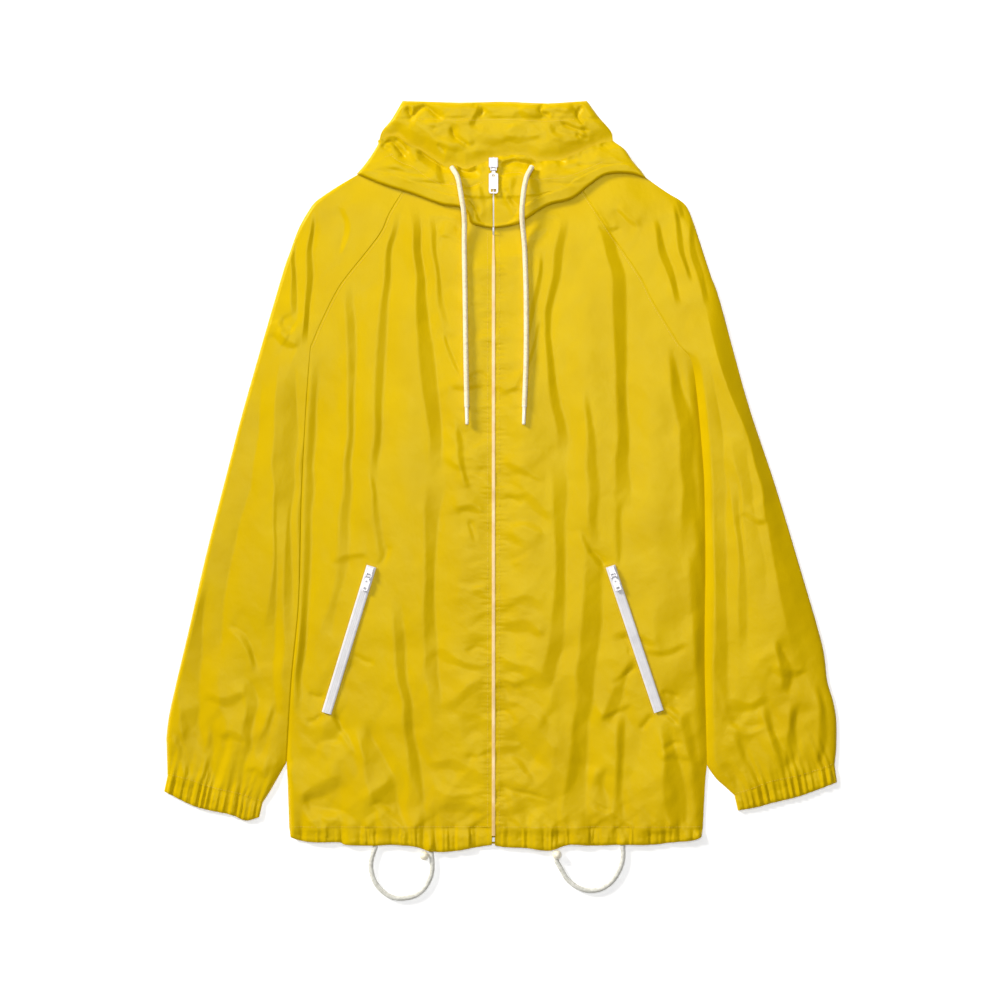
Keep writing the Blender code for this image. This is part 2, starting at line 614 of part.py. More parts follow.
def prism(name, outline, holes, thickness, place, finish):
    """A flat plate from a closed outline and round or square holes, centred on its thickness."""
    curve = bpy.data.curves.new(name, "CURVE")
    curve.dimensions = "2D"
    curve.fill_mode = "BOTH"
    curve.extrude = thickness / 2 * MM
    for loop in [outline, *holes]:
        spline = curve.splines.new("POLY")
        spline.points.add(len(loop) - 1)
        for point, (x, y) in zip(spline.points, loop):
            point.co = (x * MM, y * MM, 0, 1)
        spline.use_cyclic_u = True
    source = bpy.data.objects.new(name, curve)
    JACKET.objects.link(source)
    bpy.context.view_layer.update()
    return to_mesh(source, place, finish)


def to_mesh(source, place, finish):
    """Replace a curve object by a closed mesh of the same name: a piece, or without a finish a guide."""
    name = source.name
    mesh = bpy.data.meshes.new_from_object(source.evaluated_get(bpy.context.evaluated_depsgraph_get()))
    bpy.data.objects.remove(source, do_unlink=True)
    work = bmesh.new()
    work.from_mesh(mesh)
    bmesh.ops.remove_doubles(work, verts=work.verts, dist=1e-6)
    bmesh.ops.recalc_face_normals(work, faces=work.faces)
    work.to_mesh(mesh)
    work.free()
    return add_mesh(name, mesh, place, finish)


def add_mesh(name, mesh, place, finish):
    """Place a mesh as a piece of the jacket, or without a finish as a hidden guide for a Boolean."""
    made = bpy.data.objects.new(name, mesh)
    made.matrix_world = place
    if finish:
        mesh.materials.append(material(finish))
        JACKET.objects.link(made)
    else:
        CUTTERS.objects.link(made)
        made.hide_render = True
        made.display_type = "WIRE"
    return made


def arc(centre, radius, start, stop, count):
    """Points round part of a circle, in degrees."""
    angles = np.radians(np.linspace(start, stop, count))
    return [(centre[0] + radius * math.cos(a), centre[1] + radius * math.sin(a)) for a in angles]


def solid(name, kind, at, size, place, finish=None):
    """A box with full lengths as its size, or a rod along local X with a length and a radius."""
    mesh = bpy.data.meshes.new(name)
    work = bmesh.new()
    if kind == "box":
        bmesh.ops.create_cube(work, size=1.0)
        bmesh.ops.scale(work, vec=Vector(size) * MM, verts=work.verts)
    else:
        length, radius = size
        bmesh.ops.create_cone(
            work, cap_ends=True, segments=16, radius1=radius * MM, radius2=radius * MM, depth=length * MM
        )
        bmesh.ops.rotate(work, cent=(0, 0, 0), matrix=Matrix.Rotation(math.pi / 2, 3, "Y"), verts=work.verts)
    bmesh.ops.translate(work, vec=Vector(at) * MM, verts=work.verts)
    work.to_mesh(mesh)
    work.free()
    return add_mesh(name, mesh, place, finish)


def combine(piece, other, operation):
    """Join another shape to a piece, or cut it out of the piece."""
    step = piece.modifiers.new(operation.lower(), "BOOLEAN")
    step.operation = operation
    step.object = other


def build_slider_and_pull(name, sizes, place):
    """A slider with two ears and a cross pin, and the pull that hangs on the pin.

    place has its origin on the pin's axis, local X along the pin and local -Y towards the pull's end.
    """
    width, length, pull_width, pull_length, hole, slot_width, slot_height = sizes
    ear_x = KNUCKLE_WIDTH / 2 + EAR_GAP + EAR_WIDTH / 2
    reach = KNUCKLE_RADIUS + SLIDER_CLEAR
    body = solid(
        f"{name}_slider", "box", (0, reach + length / 2, SLIDER_HEIGHT / 2 - PIN_HEIGHT),
        (width, length, SLIDER_HEIGHT), place, HARDWARE,
    )  # fmt: skip
    rounded = body.modifiers.new("edges", "BEVEL")
    rounded.width = 0.8 * MM
    rounded.segments = 2
    ear_height = PIN_HEIGHT + 1.5
    for tag, side in (("a", -1), ("b", 1)):
        ear = solid(
            f"{name}_ear_{tag}", "box", (side * ear_x, reach / 2 - 0.2, ear_height / 2 + 0.2 - PIN_HEIGHT),
            (EAR_WIDTH, reach + 2.6, ear_height), place,
        )  # fmt: skip
        combine(body, ear, "UNION")
    pin = solid(f"{name}_pin", "rod", (0, 0, 0), (2 * ear_x + EAR_WIDTH / 2, PIN_RADIUS), place)
    combine(body, pin, "UNION")

    half = pull_width / 2
    corner = 0.22 * pull_width
    end = -pull_length
    outline = [(-KNUCKLE_WIDTH / 2 + 0.3, PLATE_START), (-half, PLATE_START - 1.6)]
    outline += arc((-half + corner, end + corner), corner, 180, 270, 5)
    outline += arc((half - corner, end + corner), corner, 270, 360, 5)
    outline += [(half, PLATE_START - 1.6), (KNUCKLE_WIDTH / 2 - 0.3, PLATE_START)]
    hole_y = PLATE_START - 2.0 - hole
    slot_y = end + slot_height / 2 + 1.8
    slot = [
        (x * slot_width / 2, slot_y + y * slot_height / 2) for x, y in ((-1, -1), (1, -1), (1, 1), (-1, 1))
    ]
    holes = [arc((0, hole_y), hole, 0, 330, 12), slot]
    pull = prism(f"{name}_pull", outline, holes, PULL_WALL, place, HARDWARE)

    # The ring round the pin and the bar that runs from it into the plate, as a profile along the pin.
    bar = 0.37 * PULL_WALL
    lean = math.degrees(math.asin(bar / KNUCKLE_RADIUS))
    ring = arc((0, 0), KNUCKLE_RADIUS, lean - 90, 270 - lean, 14)
    ring += [(-bar, PLATE_START - 1.2), (bar, PLATE_START - 1.2)]
    bore = [arc((0, 0), PIN_BORE, 0, 330, 12)]
    along_pin = place @ Matrix.Rotation(math.pi / 2, 4, "Y")
    knuckle = prism(f"{name}_knuckle", ring, bore, KNUCKLE_WIDTH, along_pin, None)
    combine(pull, knuckle, "UNION")


def seat(x, y, turn, sizes, support):
    """The place of a slider's pin at (x, y), turned about Z and tilted to lie on what is under it."""
    width, length, _, pull_length = sizes[:4]
    along = np.linspace(-pull_length, KNUCKLE_RADIUS + SLIDER_CLEAR + length, 12)
    rows = []
    for across in (-width / 2, 0, width / 2):
        for v in along:
            world_x = x + across * math.cos(turn) - v * math.sin(turn)
            world_y = y + across * math.sin(turn) + v * math.cos(turn)
            rows.append((v, support(world_x, world_y)))
    rows = np.array(rows)
    slope, level = np.polyfit(rows[:, 0], rows[:, 1], 1)
    level += (rows[:, 1] - slope * rows[:, 0] - level).max() + GAP
    lift = Matrix.Translation((x * MM, y * MM, (level + PIN_HEIGHT) * MM))
    return lift @ Matrix.Rotation(turn, 4, "Z") @ Matrix.Rotation(math.atan(slope), 4, "X")


def build_pocket_zip(wearer, axis, front):
    """The tape of a pocket zip, laid on the front panel, with its slider and pull at the top."""
    count = 22
    centre = resample(axis, count)
    on_front = ground(front)
    local = np.array([on_front(x, y, TAPE_WIDTH / 2 + 1) for x, y in centre])
    raised = np.maximum(local, np.maximum(np.roll(local, 1), np.roll(local, -1)))
    raised[0], raised[-1] = max(local[:2]), max(local[-2:])
    heights = raised + GAP + 0.25 + TAPE_WALL
    tape = ribbon(f"pocket_{wearer}_zip", centre, heights, np.full(count + 1, TAPE_WIDTH), TAPE_WALL, TAPE)
    down = centre[-1] - centre[0]
    turn = math.atan2(down[0], -down[1])
    pin_from_top = POCKET_PULL[1] + KNUCKLE_RADIUS + SLIDER_CLEAR + 1.0
    x, y = centre[0] + down / np.linalg.norm(down) * pin_from_top
    build_slider_and_pull(f"pocket_{wearer}", POCKET_PULL, seat(x, y, turn, POCKET_PULL, ground(tape, front)))


# --- cords ---------------------------------------------------------------------------------------


def tube(name, points, diameter, finish=BRAID):
    """A round cord along the points."""
    curve = bpy.data.curves.new(name, "CURVE")
    curve.dimensions = "3D"
    curve.bevel_depth = diameter / 2 * MM
    curve.bevel_resolution = CORD_SIDES
    curve.use_fill_caps = True
    spline = curve.splines.new("POLY")
    spline.points.add(len(points) - 1)
    for knot, (x, y, z) in zip(spline.points, points):
        knot.co = (x * MM, y * MM, z * MM, 1)
    return add_object(name, curve, finish)


def cord_over(route, support):
    """A cord's centreline over what it lies on: clear of it everywhere, with no sharp step."""
    length = np.linalg.norm(np.diff(smooth(route, 60), axis=0), axis=1).sum()
    flat = smooth(route, round(length / CORD_STEP))
    rest = np.array([support(x, y, CORD / 2 + 1) for x, y in flat])
    padded = np.pad(rest, 1, mode="edge")
    highest = np.maximum(rest, np.maximum(padded[:-2], padded[2:]))
    padded = np.pad(highest, 1, mode="edge")
    level = (padded[:-2] + 2 * highest + padded[2:]) / 4
    return np.column_stack([flat, np.maximum(level, rest) + CORD / 2 + GAP])


def build_hood_cords(below):
    """The two ends of the hood's drawcord, each with its tip."""
    support = ground(*below)
    for wearer, route in (("right", HOOD_CORD_LEFT), ("left", HOOD_CORD_RIGHT)):
        line = cord_over(route, support)
        tube(f"hood_cord_{wearer}", line, CORD)
        end = line[-1]
        way = np.array([line[-1][0] - line[-2][0], line[-1][1] - line[-2][1], 0.0])
        way /= np.linalg.norm(way)
        start = end + way * GAP
        finish = start + way * TIP_LENGTH
        along = [start + (finish - start) * t for t in (0, 0.5, 1)]
        lift = max(support(x, y, TIP / 2 + 1) for x, y, _ in along) + TIP / 2 + GAP
        for point in along:
            point[2] = max(end[2] - (CORD - TIP) / 2, lift)
        tube(f"cord_tip_{wearer}", along, TIP, PLASTIC)


def hem_edge(x, reach):
    """The lowest point of the hem's edge within reach of x."""
    edge = np.vstack([smooth(HEM_LEFT, 60), smooth(HEM_RIGHT, 60)])
    return edge[np.abs(edge[:, 0] - x) <= reach + 4][:, 1].min()


def build_hem_loops():
    """The loops of the hem's drawcord, lying on the floor, with their ends at the hem or at the bead."""
    for wearer, middle, ends, bead_x in (
        ("right", HEM_LOOP_LEFT, (-142, -74.5), BEAD_LEFT_X),
        ("left", HEM_LOOP_RIGHT, (BEAD_RIGHT_X, 155), BEAD_RIGHT_X),
    ):
        bead_y = hem_edge(bead_x, 2) - GAP - BEAD / 2
        tops = [bead_y - BEAD / 2 if abs(x - bead_x) < 1 else hem_edge(x, 0) for x in ends]
        start, finish = ((x, top - GAP) for x, top in zip(ends, tops))
        lead = 3.0
        route = [start, (start[0], start[1] - lead), *middle, (finish[0], finish[1] - lead), finish]
        length = np.linalg.norm(np.diff(smooth(route, 60), axis=0), axis=1).sum()
        flat = smooth(route, round(length / CORD_STEP * 1.4))
        flat[1, 0], flat[-2, 0] = start[0], finish[0]
        tube(f"hem_loop_{wearer}", np.column_stack([flat, np.full(len(flat), CORD / 2 + 0.05)]), CORD)
        mesh = bpy.data.meshes.new(f"hem_bead_{wearer}")
        work = bmesh.new()
        bmesh.ops.create_uvsphere(work, u_segments=12, v_segments=8, radius=BEAD / 2 * MM)
        work.to_mesh(mesh)
        work.free()
        mesh.shade_smooth()
        ball = add_object(f"hem_bead_{wearer}", mesh, PLASTIC)
        ball.location = (bead_x * MM, bead_y * MM, (BEAD / 2 + 0.05) * MM)


# --- the jacket ----------------------------------------------------------------------------------


def build_jacket():
    """Under layer first, then the upper layer, then what lies on it."""
    build_back()
    fronts = build_fronts()
    sleeves = build_sleeves()
    build_cuffs()
    hems = build_hem()
    middle = build_hood_middle()
    wings = build_wings([*fronts, *sleeves, middle])
    build_front_zip([*fronts, *hems], wings)
    cloth = ground(*fronts, *sleeves, *wings)

    pin_y = SLIDER_AT[1] - FRONT_PULL[1] / 2 - KNUCKLE_RADIUS - SLIDER_CLEAR
    build_slider_and_pull("zip", FRONT_PULL, seat(SLIDER_AT[0], pin_y, 0.0, FRONT_PULL, cloth))
    for wearer, axis, front in (("right", POCKET_LEFT, fronts[0]), ("left", POCKET_RIGHT, fronts[1])):
        build_pocket_zip(wearer, axis, front)
    build_hood_cords([*fronts, *sleeves, *wings])
    build_hem_loops()


build_jacket()
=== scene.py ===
"""The looks of a rain jacket laid flat: thin yellow nylon, white zips and cream cords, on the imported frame.

Lengths are millimetres until a mesh is made, and MM turns them into metres. +X is the wearer's left,
+Y points to the hood and +Z is up. In the names of outlines, routes and pocket axes, LEFT and RIGHT are
those of the view from above, so LEFT is at -X. In the names of folds and pieces they are the wearer's. The
outlines, edges and cord routes are those of the part's source, or within 2 mm of them, and each cloth piece
is a thin shell on the form of the solid that it stands for, with finer folds.
"""

import math

import bmesh
import bpy
import numpy as np
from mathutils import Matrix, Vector, noise
from mathutils.bvhtree import BVHTree


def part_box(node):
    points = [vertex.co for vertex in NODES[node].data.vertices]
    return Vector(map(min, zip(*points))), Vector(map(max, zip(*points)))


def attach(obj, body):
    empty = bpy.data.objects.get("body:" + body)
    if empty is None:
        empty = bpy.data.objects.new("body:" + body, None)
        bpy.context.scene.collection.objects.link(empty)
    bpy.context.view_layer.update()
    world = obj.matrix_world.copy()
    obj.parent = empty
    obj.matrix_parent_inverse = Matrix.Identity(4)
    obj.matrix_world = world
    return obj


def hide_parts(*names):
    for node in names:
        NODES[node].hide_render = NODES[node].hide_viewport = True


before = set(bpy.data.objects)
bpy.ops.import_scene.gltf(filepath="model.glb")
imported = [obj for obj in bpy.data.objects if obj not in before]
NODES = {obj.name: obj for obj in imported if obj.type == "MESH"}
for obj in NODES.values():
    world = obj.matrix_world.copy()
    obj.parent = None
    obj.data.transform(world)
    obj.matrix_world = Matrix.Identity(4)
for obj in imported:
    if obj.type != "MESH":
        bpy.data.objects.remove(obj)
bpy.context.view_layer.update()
BODY = "jacket"
MM = 0.001

# The camera looks straight down on a square of this width, as the photograph does.
VIEW_CENTRE = (7.8, -28.8)
VIEW_WIDTH = 1200.0
LENS = 100.0
SENSOR = 36.0

# Walls, gaps and heights, as in the part's source.
UNDER = 1.4
GAP = 0.3
SEAM = GAP / 2
SEWN = 0.02  # between two edges that are sewn together
TUCK = 1.0  # how far the back's edges lie inside the seams
LOFT = 6.4  # top of a front between its folds
NECK_ROLL = 26.0
WING_RIM = 6.6  # top of a wing at its face edge, and at its crest
WING_CREST = 17.0
CHIN_DIP = 0.7  # the share of the crest that is missing at the chin, and the dip's half width
CHIN_WIDTH = 24.0
SAG = 26.0  # over what width a wing climbs from its face edge

# The shells of cloth.
WALL = 0.8  # of a shell, inside the solid's wall
FLOOR_GAP = 0.02
CLOSE = UNDER + WALL + 0.05  # top of the upper layer where it closes onto the under layer
LEAST_LOFT = 0.35  # of a front over its closed edges, under the deepest fold
ARMPIT = 150.0  # the y from which the fronts slope down to their side seams
CLOSED_FROM = -350.0  # the y below which no side seam keeps any height
SEAM_FADE = 60.0  # the length over which each of the two comes in
FRONT_SIDE_ROLL = {-1: 5.0, 1: 14.0}  # how far in the fronts slope down to their side edges
SLEEVE_SIDE_ROLL = {-1: 28.0, 1: 11.0}  # the same for the sleeves beside them
WING_ROLL = 3.0
WING_EDGE = 4.8  # how thick the hood is beside its lower fold, and over what width it climbs from there
WING_CLIMB = 44.0
FADE = 0.2  # the share of a fold over which each of its ends dies away
FOLD_STRENGTH = 1.5  # these three turn the tables' sizes into those that match the cloth's look
PINCH_STRENGTH = 2.1
PINCH_WIDTH = 0.75
RETURN = 1.5  # how far the cloth takes to come back beside a fold, in half widths
RETURN_LEAST = 8.0
CELL = 2.6  # of the body's and the sleeves' meshes
UNDER_CELL = 6.0
HOOD_CELL = 1.8
CHANNEL_CELL = 1.3  # of the ruched hem and cuffs
SEAM_DIP = 0.16  # how deep a sewn seam lies, and how wide
SEAM_DIP_WIDTH = 1.8
TURN_UP = 2.2  # over what width an under layer is turned up to its upper layer
HOOD_LOFT = 5.8  # the inside of the hood: its height, the roll of its outer edges and its rise by the face
HOOD_ROLL = 9.0
FACE_RISE = 16.0
RUCHED_WIDTH = 9.0  # of the gathered cloth beside the face edge
MOUTH_DIP = 2.2  # how deep the cloth dips where a hood cord leaves it, and how wide
MOUTH_WIDTH = 6.0
CENTRE_DIP = 1.4  # the valley where the wings meet over the zip, and how wide
CENTRE_WIDTH = 2.2

# Zips and cords, as in the part's source, and the relief of their teeth and braids.
ZIP_WIDTH = 3.0
ZIP_CLOSED_WIDTH = 1.0
ZIP_TOP = 382.0
ZIP_OPENS = 293.0
ZIP_BOTTOM = -438.0
STOP_LENGTH = 5.0
HEM_SEAM = -422.0
TEETH_PITCH = 1.6
TAPE_WIDTH = 10.0
TAPE_WALL = 1.2
CORD = 6.0
TIP = 4.6
TIP_LENGTH = 23.0
TIP_PROFILE = (  # share of the tip's length, and how far its radius is from that of the cord or the tip
    (0.0, CORD, 0.0), (0.02, CORD, 0.1), (0.07, CORD, 0.1), (0.1, TIP, 0.05), (0.14, TIP, 0.0),
    (0.9, TIP, -0.15), (0.965, TIP, -0.3), (0.995, TIP, -0.9), (1.0, TIP, -1.5),
)  # fmt: skip
BEAD = 11.0
BEAD_HOLE = 2.1  # radius
CORD_STEP = 14.0
CORD_DIVE = (6.5, 1.0)  # how far a hood cord's first two points lie below where it would lie on the cloth
BRAID_STEP = 0.7  # between two rings of a cord's mesh
BRAID_SIDES = 24
BRAID_STRANDS = 8
BRAID_PITCH = 11.0  # along which a strand goes once round
BRAID_RELIEF = 0.16

# Outlines, as (x, y) read from top to bottom or from left to right.
NECK_LEFT = ((-103, 350), (-62, 334), (-43, 330), (-30, 322), (-23, 304), (-13, 297), (-2, 295))
NECK_RIGHT = ((2, 295), (14, 297), (29, 303), (38, 317), (62, 332), (88, 341), (101, 351))
NECK_SLEEVE_LEFT = ((-162, 362), (-150, 361), (-131, 358), (-103, 350))
NECK_SLEEVE_RIGHT = ((101, 351), (134, 366), (163, 368), (182, 358))
NECK_BACK = ((-103, 350), (-50, 341), (0, 338), (50, 341), (101, 351))
HOOD_NECK = ((-162, 361), (-103, 350), (-50, 341), (0, 338), (50, 341), (101, 351), (182, 356))
RAGLAN_LEFT = ((-103, 350), (-124, 316), (-137, 288), (-175, 240), (-188, 221), (-205, 187), (-219, 154))
RAGLAN_RIGHT = ((101, 351), (117, 326), (149, 278), (176, 238), (188, 214), (202, 190), (223, 156))
SIDE_LEFT = ((-219, 154), (-223, 103), (-226, 55), (-230, -29), (-233, -149), (-242, -248), (-248, -343))
SIDE_RIGHT = ((223, 156), (237, 138), (244, 95), (251, 19), (253, -23), (254, -112), (253, -217), (256, -347))
FLANK_LEFT = ((-248, -343), (-247, -365), (-245, HEM_SEAM))
FLANK_RIGHT = ((256, -347), (254, -365), (251, HEM_SEAM))
OUTER_LEFT = (
    (-162, 362), (-189, 346), (-212, 330), (-221, 319), (-233, 298), (-244, 269), (-256, 233),
    (-297, 91), (-316, 19), (-344, -91), (-364, -178), (-381, -250), (-389, -287), (-392, -311),
    (-392, -325), (-391, -359),
)  # fmt: skip
OUTER_RIGHT = (
    (182, 358), (208, 340), (227, 328), (236, 314), (247, 282), (260, 242), (272, 208), (304, 91),
    (338, -12), (369, -115), (394, -202), (400, -245), (407, -269), (411, -293), (411, -325), (409, -346),
)  # fmt: skip
INNER_LEFT = ((-248, -343), (-260, -364), (-268, -378), (-277, -392))
INNER_RIGHT = ((256, -347), (261, -355), (268, -364), (277, -372), (289, -383))
WRIST_LEFT = ((-391, -359), (-363, -366), (-344, -373), (-326, -378), (-303, -383), (-277, -392))
WRIST_RIGHT = ((289, -383), (308, -377), (332, -368), (361, -362), (386, -355), (409, -346))
CUFF_LEFT = ((-395, -378), (-363, -394), (-344, -400), (-315, -406), (-297, -413), (-281, -409))
CUFF_RIGHT = ((293, -401), (316, -397), (334, -392), (363, -385), (386, -377), (412, -367))
HEM_LEFT = (
    (-243, -433), (-232, -437), (-215, -439), (-185, -439), (-177, -442), (-145, -443), (-122, -442),
    (-95, -444), (-75, -450), (-51, -450), (-26, -446), (-2, -442),
)  # fmt: skip
HEM_RIGHT = (
    (2, -443), (14, -445), (40, -446), (67, -449), (91, -442), (119, -443), (151, -442), (189, -442),
    (215, -439), (238, -437), (249, -433),
)  # fmt: skip
CROWN = ((-109, 450), (-41, 448), (14, 449), (65, 447), (112, 450))
TEMPLE_LEFT = ((-109, 450), (-122, 428), (-134, 413), (-139, 397), (-151, 378), (-162, 361))
TEMPLE_RIGHT = (
    (112, 450), (125, 432), (141, 413), (144, 401), (157, 392), (166, 379), (176, 367), (182, 356),
)  # fmt: skip
FACE_LEFT = ((-139, 402), (-118, 407), (-101, 395), (-87, 390), (-61, 372), (-46, 372), (-33, 368), (-2, 380))
FACE_RIGHT = (
    (2, 382), (20, 385), (40, 384), (52, 377), (64, 378), (81, 379), (104, 388), (124, 397), (143, 402),
)  # fmt: skip
WING_SIDE_LEFT = ((-139, 402), (-139, 397), (-151, 378), (-164, 362))
WING_SIDE_RIGHT = ((143, 402), (157, 392), (166, 379), (176, 367), (184, 356))
WING_FOLD_LEFT = (
    (-164, 362), (-133, 349), (-98, 338), (-62, 325), (-41, 322), (-31, 314), (-27, 303), (-14, 299),
    (-1, 297),
)  # fmt: skip
WING_FOLD_RIGHT = (
    (1, 297), (15, 299), (30, 302), (41, 309), (65, 324), (94, 332), (115, 348), (136, 361), (164, 362),
    (184, 356),
)  # fmt: skip

# Edges where the upper layer is rounded down to the under layer: line and how far in the rounding reaches.
OUTER_EDGES = ((OUTER_LEFT, 5.0), (OUTER_RIGHT, 20.0), (INNER_LEFT, 12.0), (INNER_RIGHT, 12.0))
# The side seams, and how much of the height they keep between the arm and the hem.
SIDE_EDGES = ((SIDE_LEFT + FLANK_LEFT[1:], 0.7), (SIDE_RIGHT + FLANK_RIGHT[1:], 0.0))
NECK_EDGES = (NECK_LEFT, NECK_RIGHT, NECK_SLEEVE_LEFT, NECK_SLEEVE_RIGHT)
SEWN_SEAMS = (RAGLAN_LEFT, RAGLAN_RIGHT, WRIST_LEFT, WRIST_RIGHT, ((-245, HEM_SEAM), (251, HEM_SEAM)))

# Broad soft swells: height, half width on the first side, half width on the other side, path.
# The first side is -X of a path drawn downwards, and below a path drawn to the right.
SWELLS = (
    (1.6, 20, 20, ((-150, 230), (-152, 60), (-150, -90))),
    (1.6, 20, 20, ((-106, 260), (-106, 120), (-104, -80))),
    (1.6, 22, 22, ((-40, 200), (-38, -60), (-42, -330))),
    (1.6, 20, 20, ((112, 250), (116, 60), (114, -120))),
    (1.4, 20, 20, ((190, 160), (194, -30), (200, -220))),
    (1.6, 22, 22, ((38, 180), (40, -80), (36, -330))),
    (3.0, 34, 40, ((-222, 280), (-270, 60), (-310, -110), (-344, -350))),
    (3.0, 34, 40, ((230, 270), (282, 60), (322, -110), (350, -350))),
)

# Folds with a straight slope between two soft creases: drop, width at the start, width at the end, path.
# The cloth falls by the drop towards +X of a path drawn downwards, or towards +Y of one drawn to the right.
# The long folds of each piece come first, then the short ones that cross them.
RIGHT_FRONT_FOLDS = (
    (2.2, 9, 11, ((-176, 246), (-169, 170), (-170, 90), (-174, 10), (-178, -60), (-184, -130))),
    (1.9, 8, 11, ((-110, 334), (-125, 265), (-130, 200), (-136, 110), (-141, 20), (-147, -20))),
    (3.0, 10, 20, ((-98, 342), (-92, 290), (-87, 223), (-79, 139), (-71, 60), (-67, -10))),
    (2.3, 18, 12, ((-68, 10), (-74, -60), (-78, -150), (-75, -214), (-66, -310))),
    (1.3, 5, 7, ((-75, 316), (-69, 262), (-64, 215), (-52, 168))),
    (3.4, 18, 9, ((-210, 160), (-218, 90), (-223, 10), (-226, -70), (-230, -190), (-238, -300))),
    (1.3, 6, 7, ((-46, 72), (-38, 22), (-30, -22))),
    (1.0, 5, 4, ((-60, 174), (-52, 150), (-38, 118))),
    (2.5, 9, 20, ((-119, -130), (-111, -224), (-101, -297), (-94, -371), (-92, -430), (-88, -490))),
    (4.2, 20, 34, ((-160, -296), (-139, -358), (-118, -430))),
    (1.3, 4, 6, ((-197, -280), (-183, -300), (-165, -338))),
    (1.1, 5, 9, ((-148, 10), (-138, -60), (-134, -110))),
    (1.0, 8, 12, ((-176, -90), (-186, -130), (-206, -200))),
    (-1.0, 8, 5, ((-196, -104), (-172, -98), (-150, -96))),
    (-1.1, 9, 5, ((-48, -42), (-28, -38), (-10, -46))),
    (-1.2, 12, 6, ((-76, -206), (-44, -222), (-10, -234))),
    (-1.1, 16, 8, ((-62, -286), (-36, -262), (-6, -246))),
    (-1.3, 14, 8, ((-80, -352), (-56, -344), (-30, -352))),
    (1.1, 10, 8, ((-76, -366), (-44, -378), (-8, -372))),
    (-1.2, 14, 8, ((-66, -398), (-40, -396), (-8, -404))),
    (0.9, 10, 8, ((-60, 62), (-36, 40), (-8, 36))),
    (-0.9, 8, 6, ((-62, 26), (-40, 10), (-8, 8))),
    (-0.9, 7, 5, ((-52, 110), (-30, 104), (-8, 108))),
    (0.8, 7, 5, ((-46, -128), (-26, -134), (-6, -130))),
    (-1.9, 12, 18, ((-236, -392), (-214, -378), (-178, -362))),
    (2.0, 16, 10, ((-232, -404), (-196, -404), (-158, -418))),
    (0.9, 6, 6, ((-214, -330), (-200, -318), (-182, -322))),
    (-1.2, 8, 5, ((-82, 306), (-56, 310), (-34, 296))),
    (-1.0, 6, 4, ((-66, 288), (-50, 286), (-36, 276))),
)
LEFT_FRONT_FOLDS = (
    (2.8, 12, 18, ((112, 340), (136, 290), (149, 240), (153, 170), (154, 90), (155, 0), (152, -60))),
    (1.0, 10, 4, ((153, -20), (150, -70), (149, -112))),
    (2.0, 8, 11, ((88, 330), (78, 260), (66, 190), (68, 150), (74, 90), (84, 40), (81, 6))),
    (2.0, 16, 14, ((76, 34), (80, -30), (80, -77), (79, -138), (74, -200), (62, -262))),
    (1.6, 8, 14, ((110, 112), (118, 20), (120, -60), (124, -90))),
    (
        3.2, 16, 32,
        ((119, -60), (118, -150), (113, -214), (108, -273), (103, -322), (98, -371), (92, -430), (86, -500)),
    ),
    (1.3, 6, 4, ((106, -62), (112, -84), (136, -118))),
    (2.0, 7, 15, ((172, -214), (156, -242), (142, -276), (132, -304))),
    (1.9, 6, 15, ((158, -270), (150, -340), (149, -430), (149, -480))),
    (2.4, 12, 22, ((128, -346), (124, -378), (130, -410))),
    (3.8, 14, 30, ((204, -296), (212, -340), (222, -440))),
    (1.5, 8, 14, ((226, -270), (236, -320), (248, -410))),
    (3.2, 8, 26, ((212, 160), (220, 105), (230, 60), (234, -20), (240, -90))),
    (1.3, 12, 12, ((236, -80), (244, -180), (250, -260))),
    (1.2, 5, 7, ((60, 270), (50, 210), (40, 150))),
    (1.0, 5, 7, ((58, 196), (44, 136), (20, 94))),
    (-1.1, 14, 10, ((8, -152), (34, -150), (62, -160))),
    (-1.2, 16, 9, ((10, -180), (40, -182), (58, -196))),
    (-1.2, 10, 16, ((8, -226), (36, -232), (66, -258))),
    (1.1, 10, 10, ((16, -262), (44, -276), (70, -300))),
    (-1.0, 9, 9, ((6, -308), (34, -316), (60, -348))),
    (-1.3, 12, 9, ((8, -360), (36, -378), (66, -398))),
    (1.1, 9, 7, ((6, -330), (30, -344), (50, -372))),
    (-1.0, 8, 6, ((10, 20), (36, 4), (60, -10))),
    (-1.4, 18, 6, ((14, -12), (40, -26), (70, -56))),
    (1.0, 10, 6, ((14, -60), (40, -58), (64, -72))),
    (-0.9, 7, 5, ((8, 100), (28, 104), (46, 96))),
    (-1.0, 8, 5, ((138, -196), (164, -188), (196, -206))),
    (-1.0, 7, 5, ((178, -208), (206, -214), (232, -198))),
    (1.1, 6, 5, ((196, -270), (212, -276), (224, -290))),
    (-1.0, 6, 4, ((126, -292), (146, -282), (166, -272))),
    (-1.0, 8, 6, ((198, -342), (214, -336), (236, -340))),
    (-1.2, 8, 5, ((36, 302), (54, 312), (80, 308))),
    (-1.0, 6, 4, ((40, 282), (52, 288), (64, 296))),
)
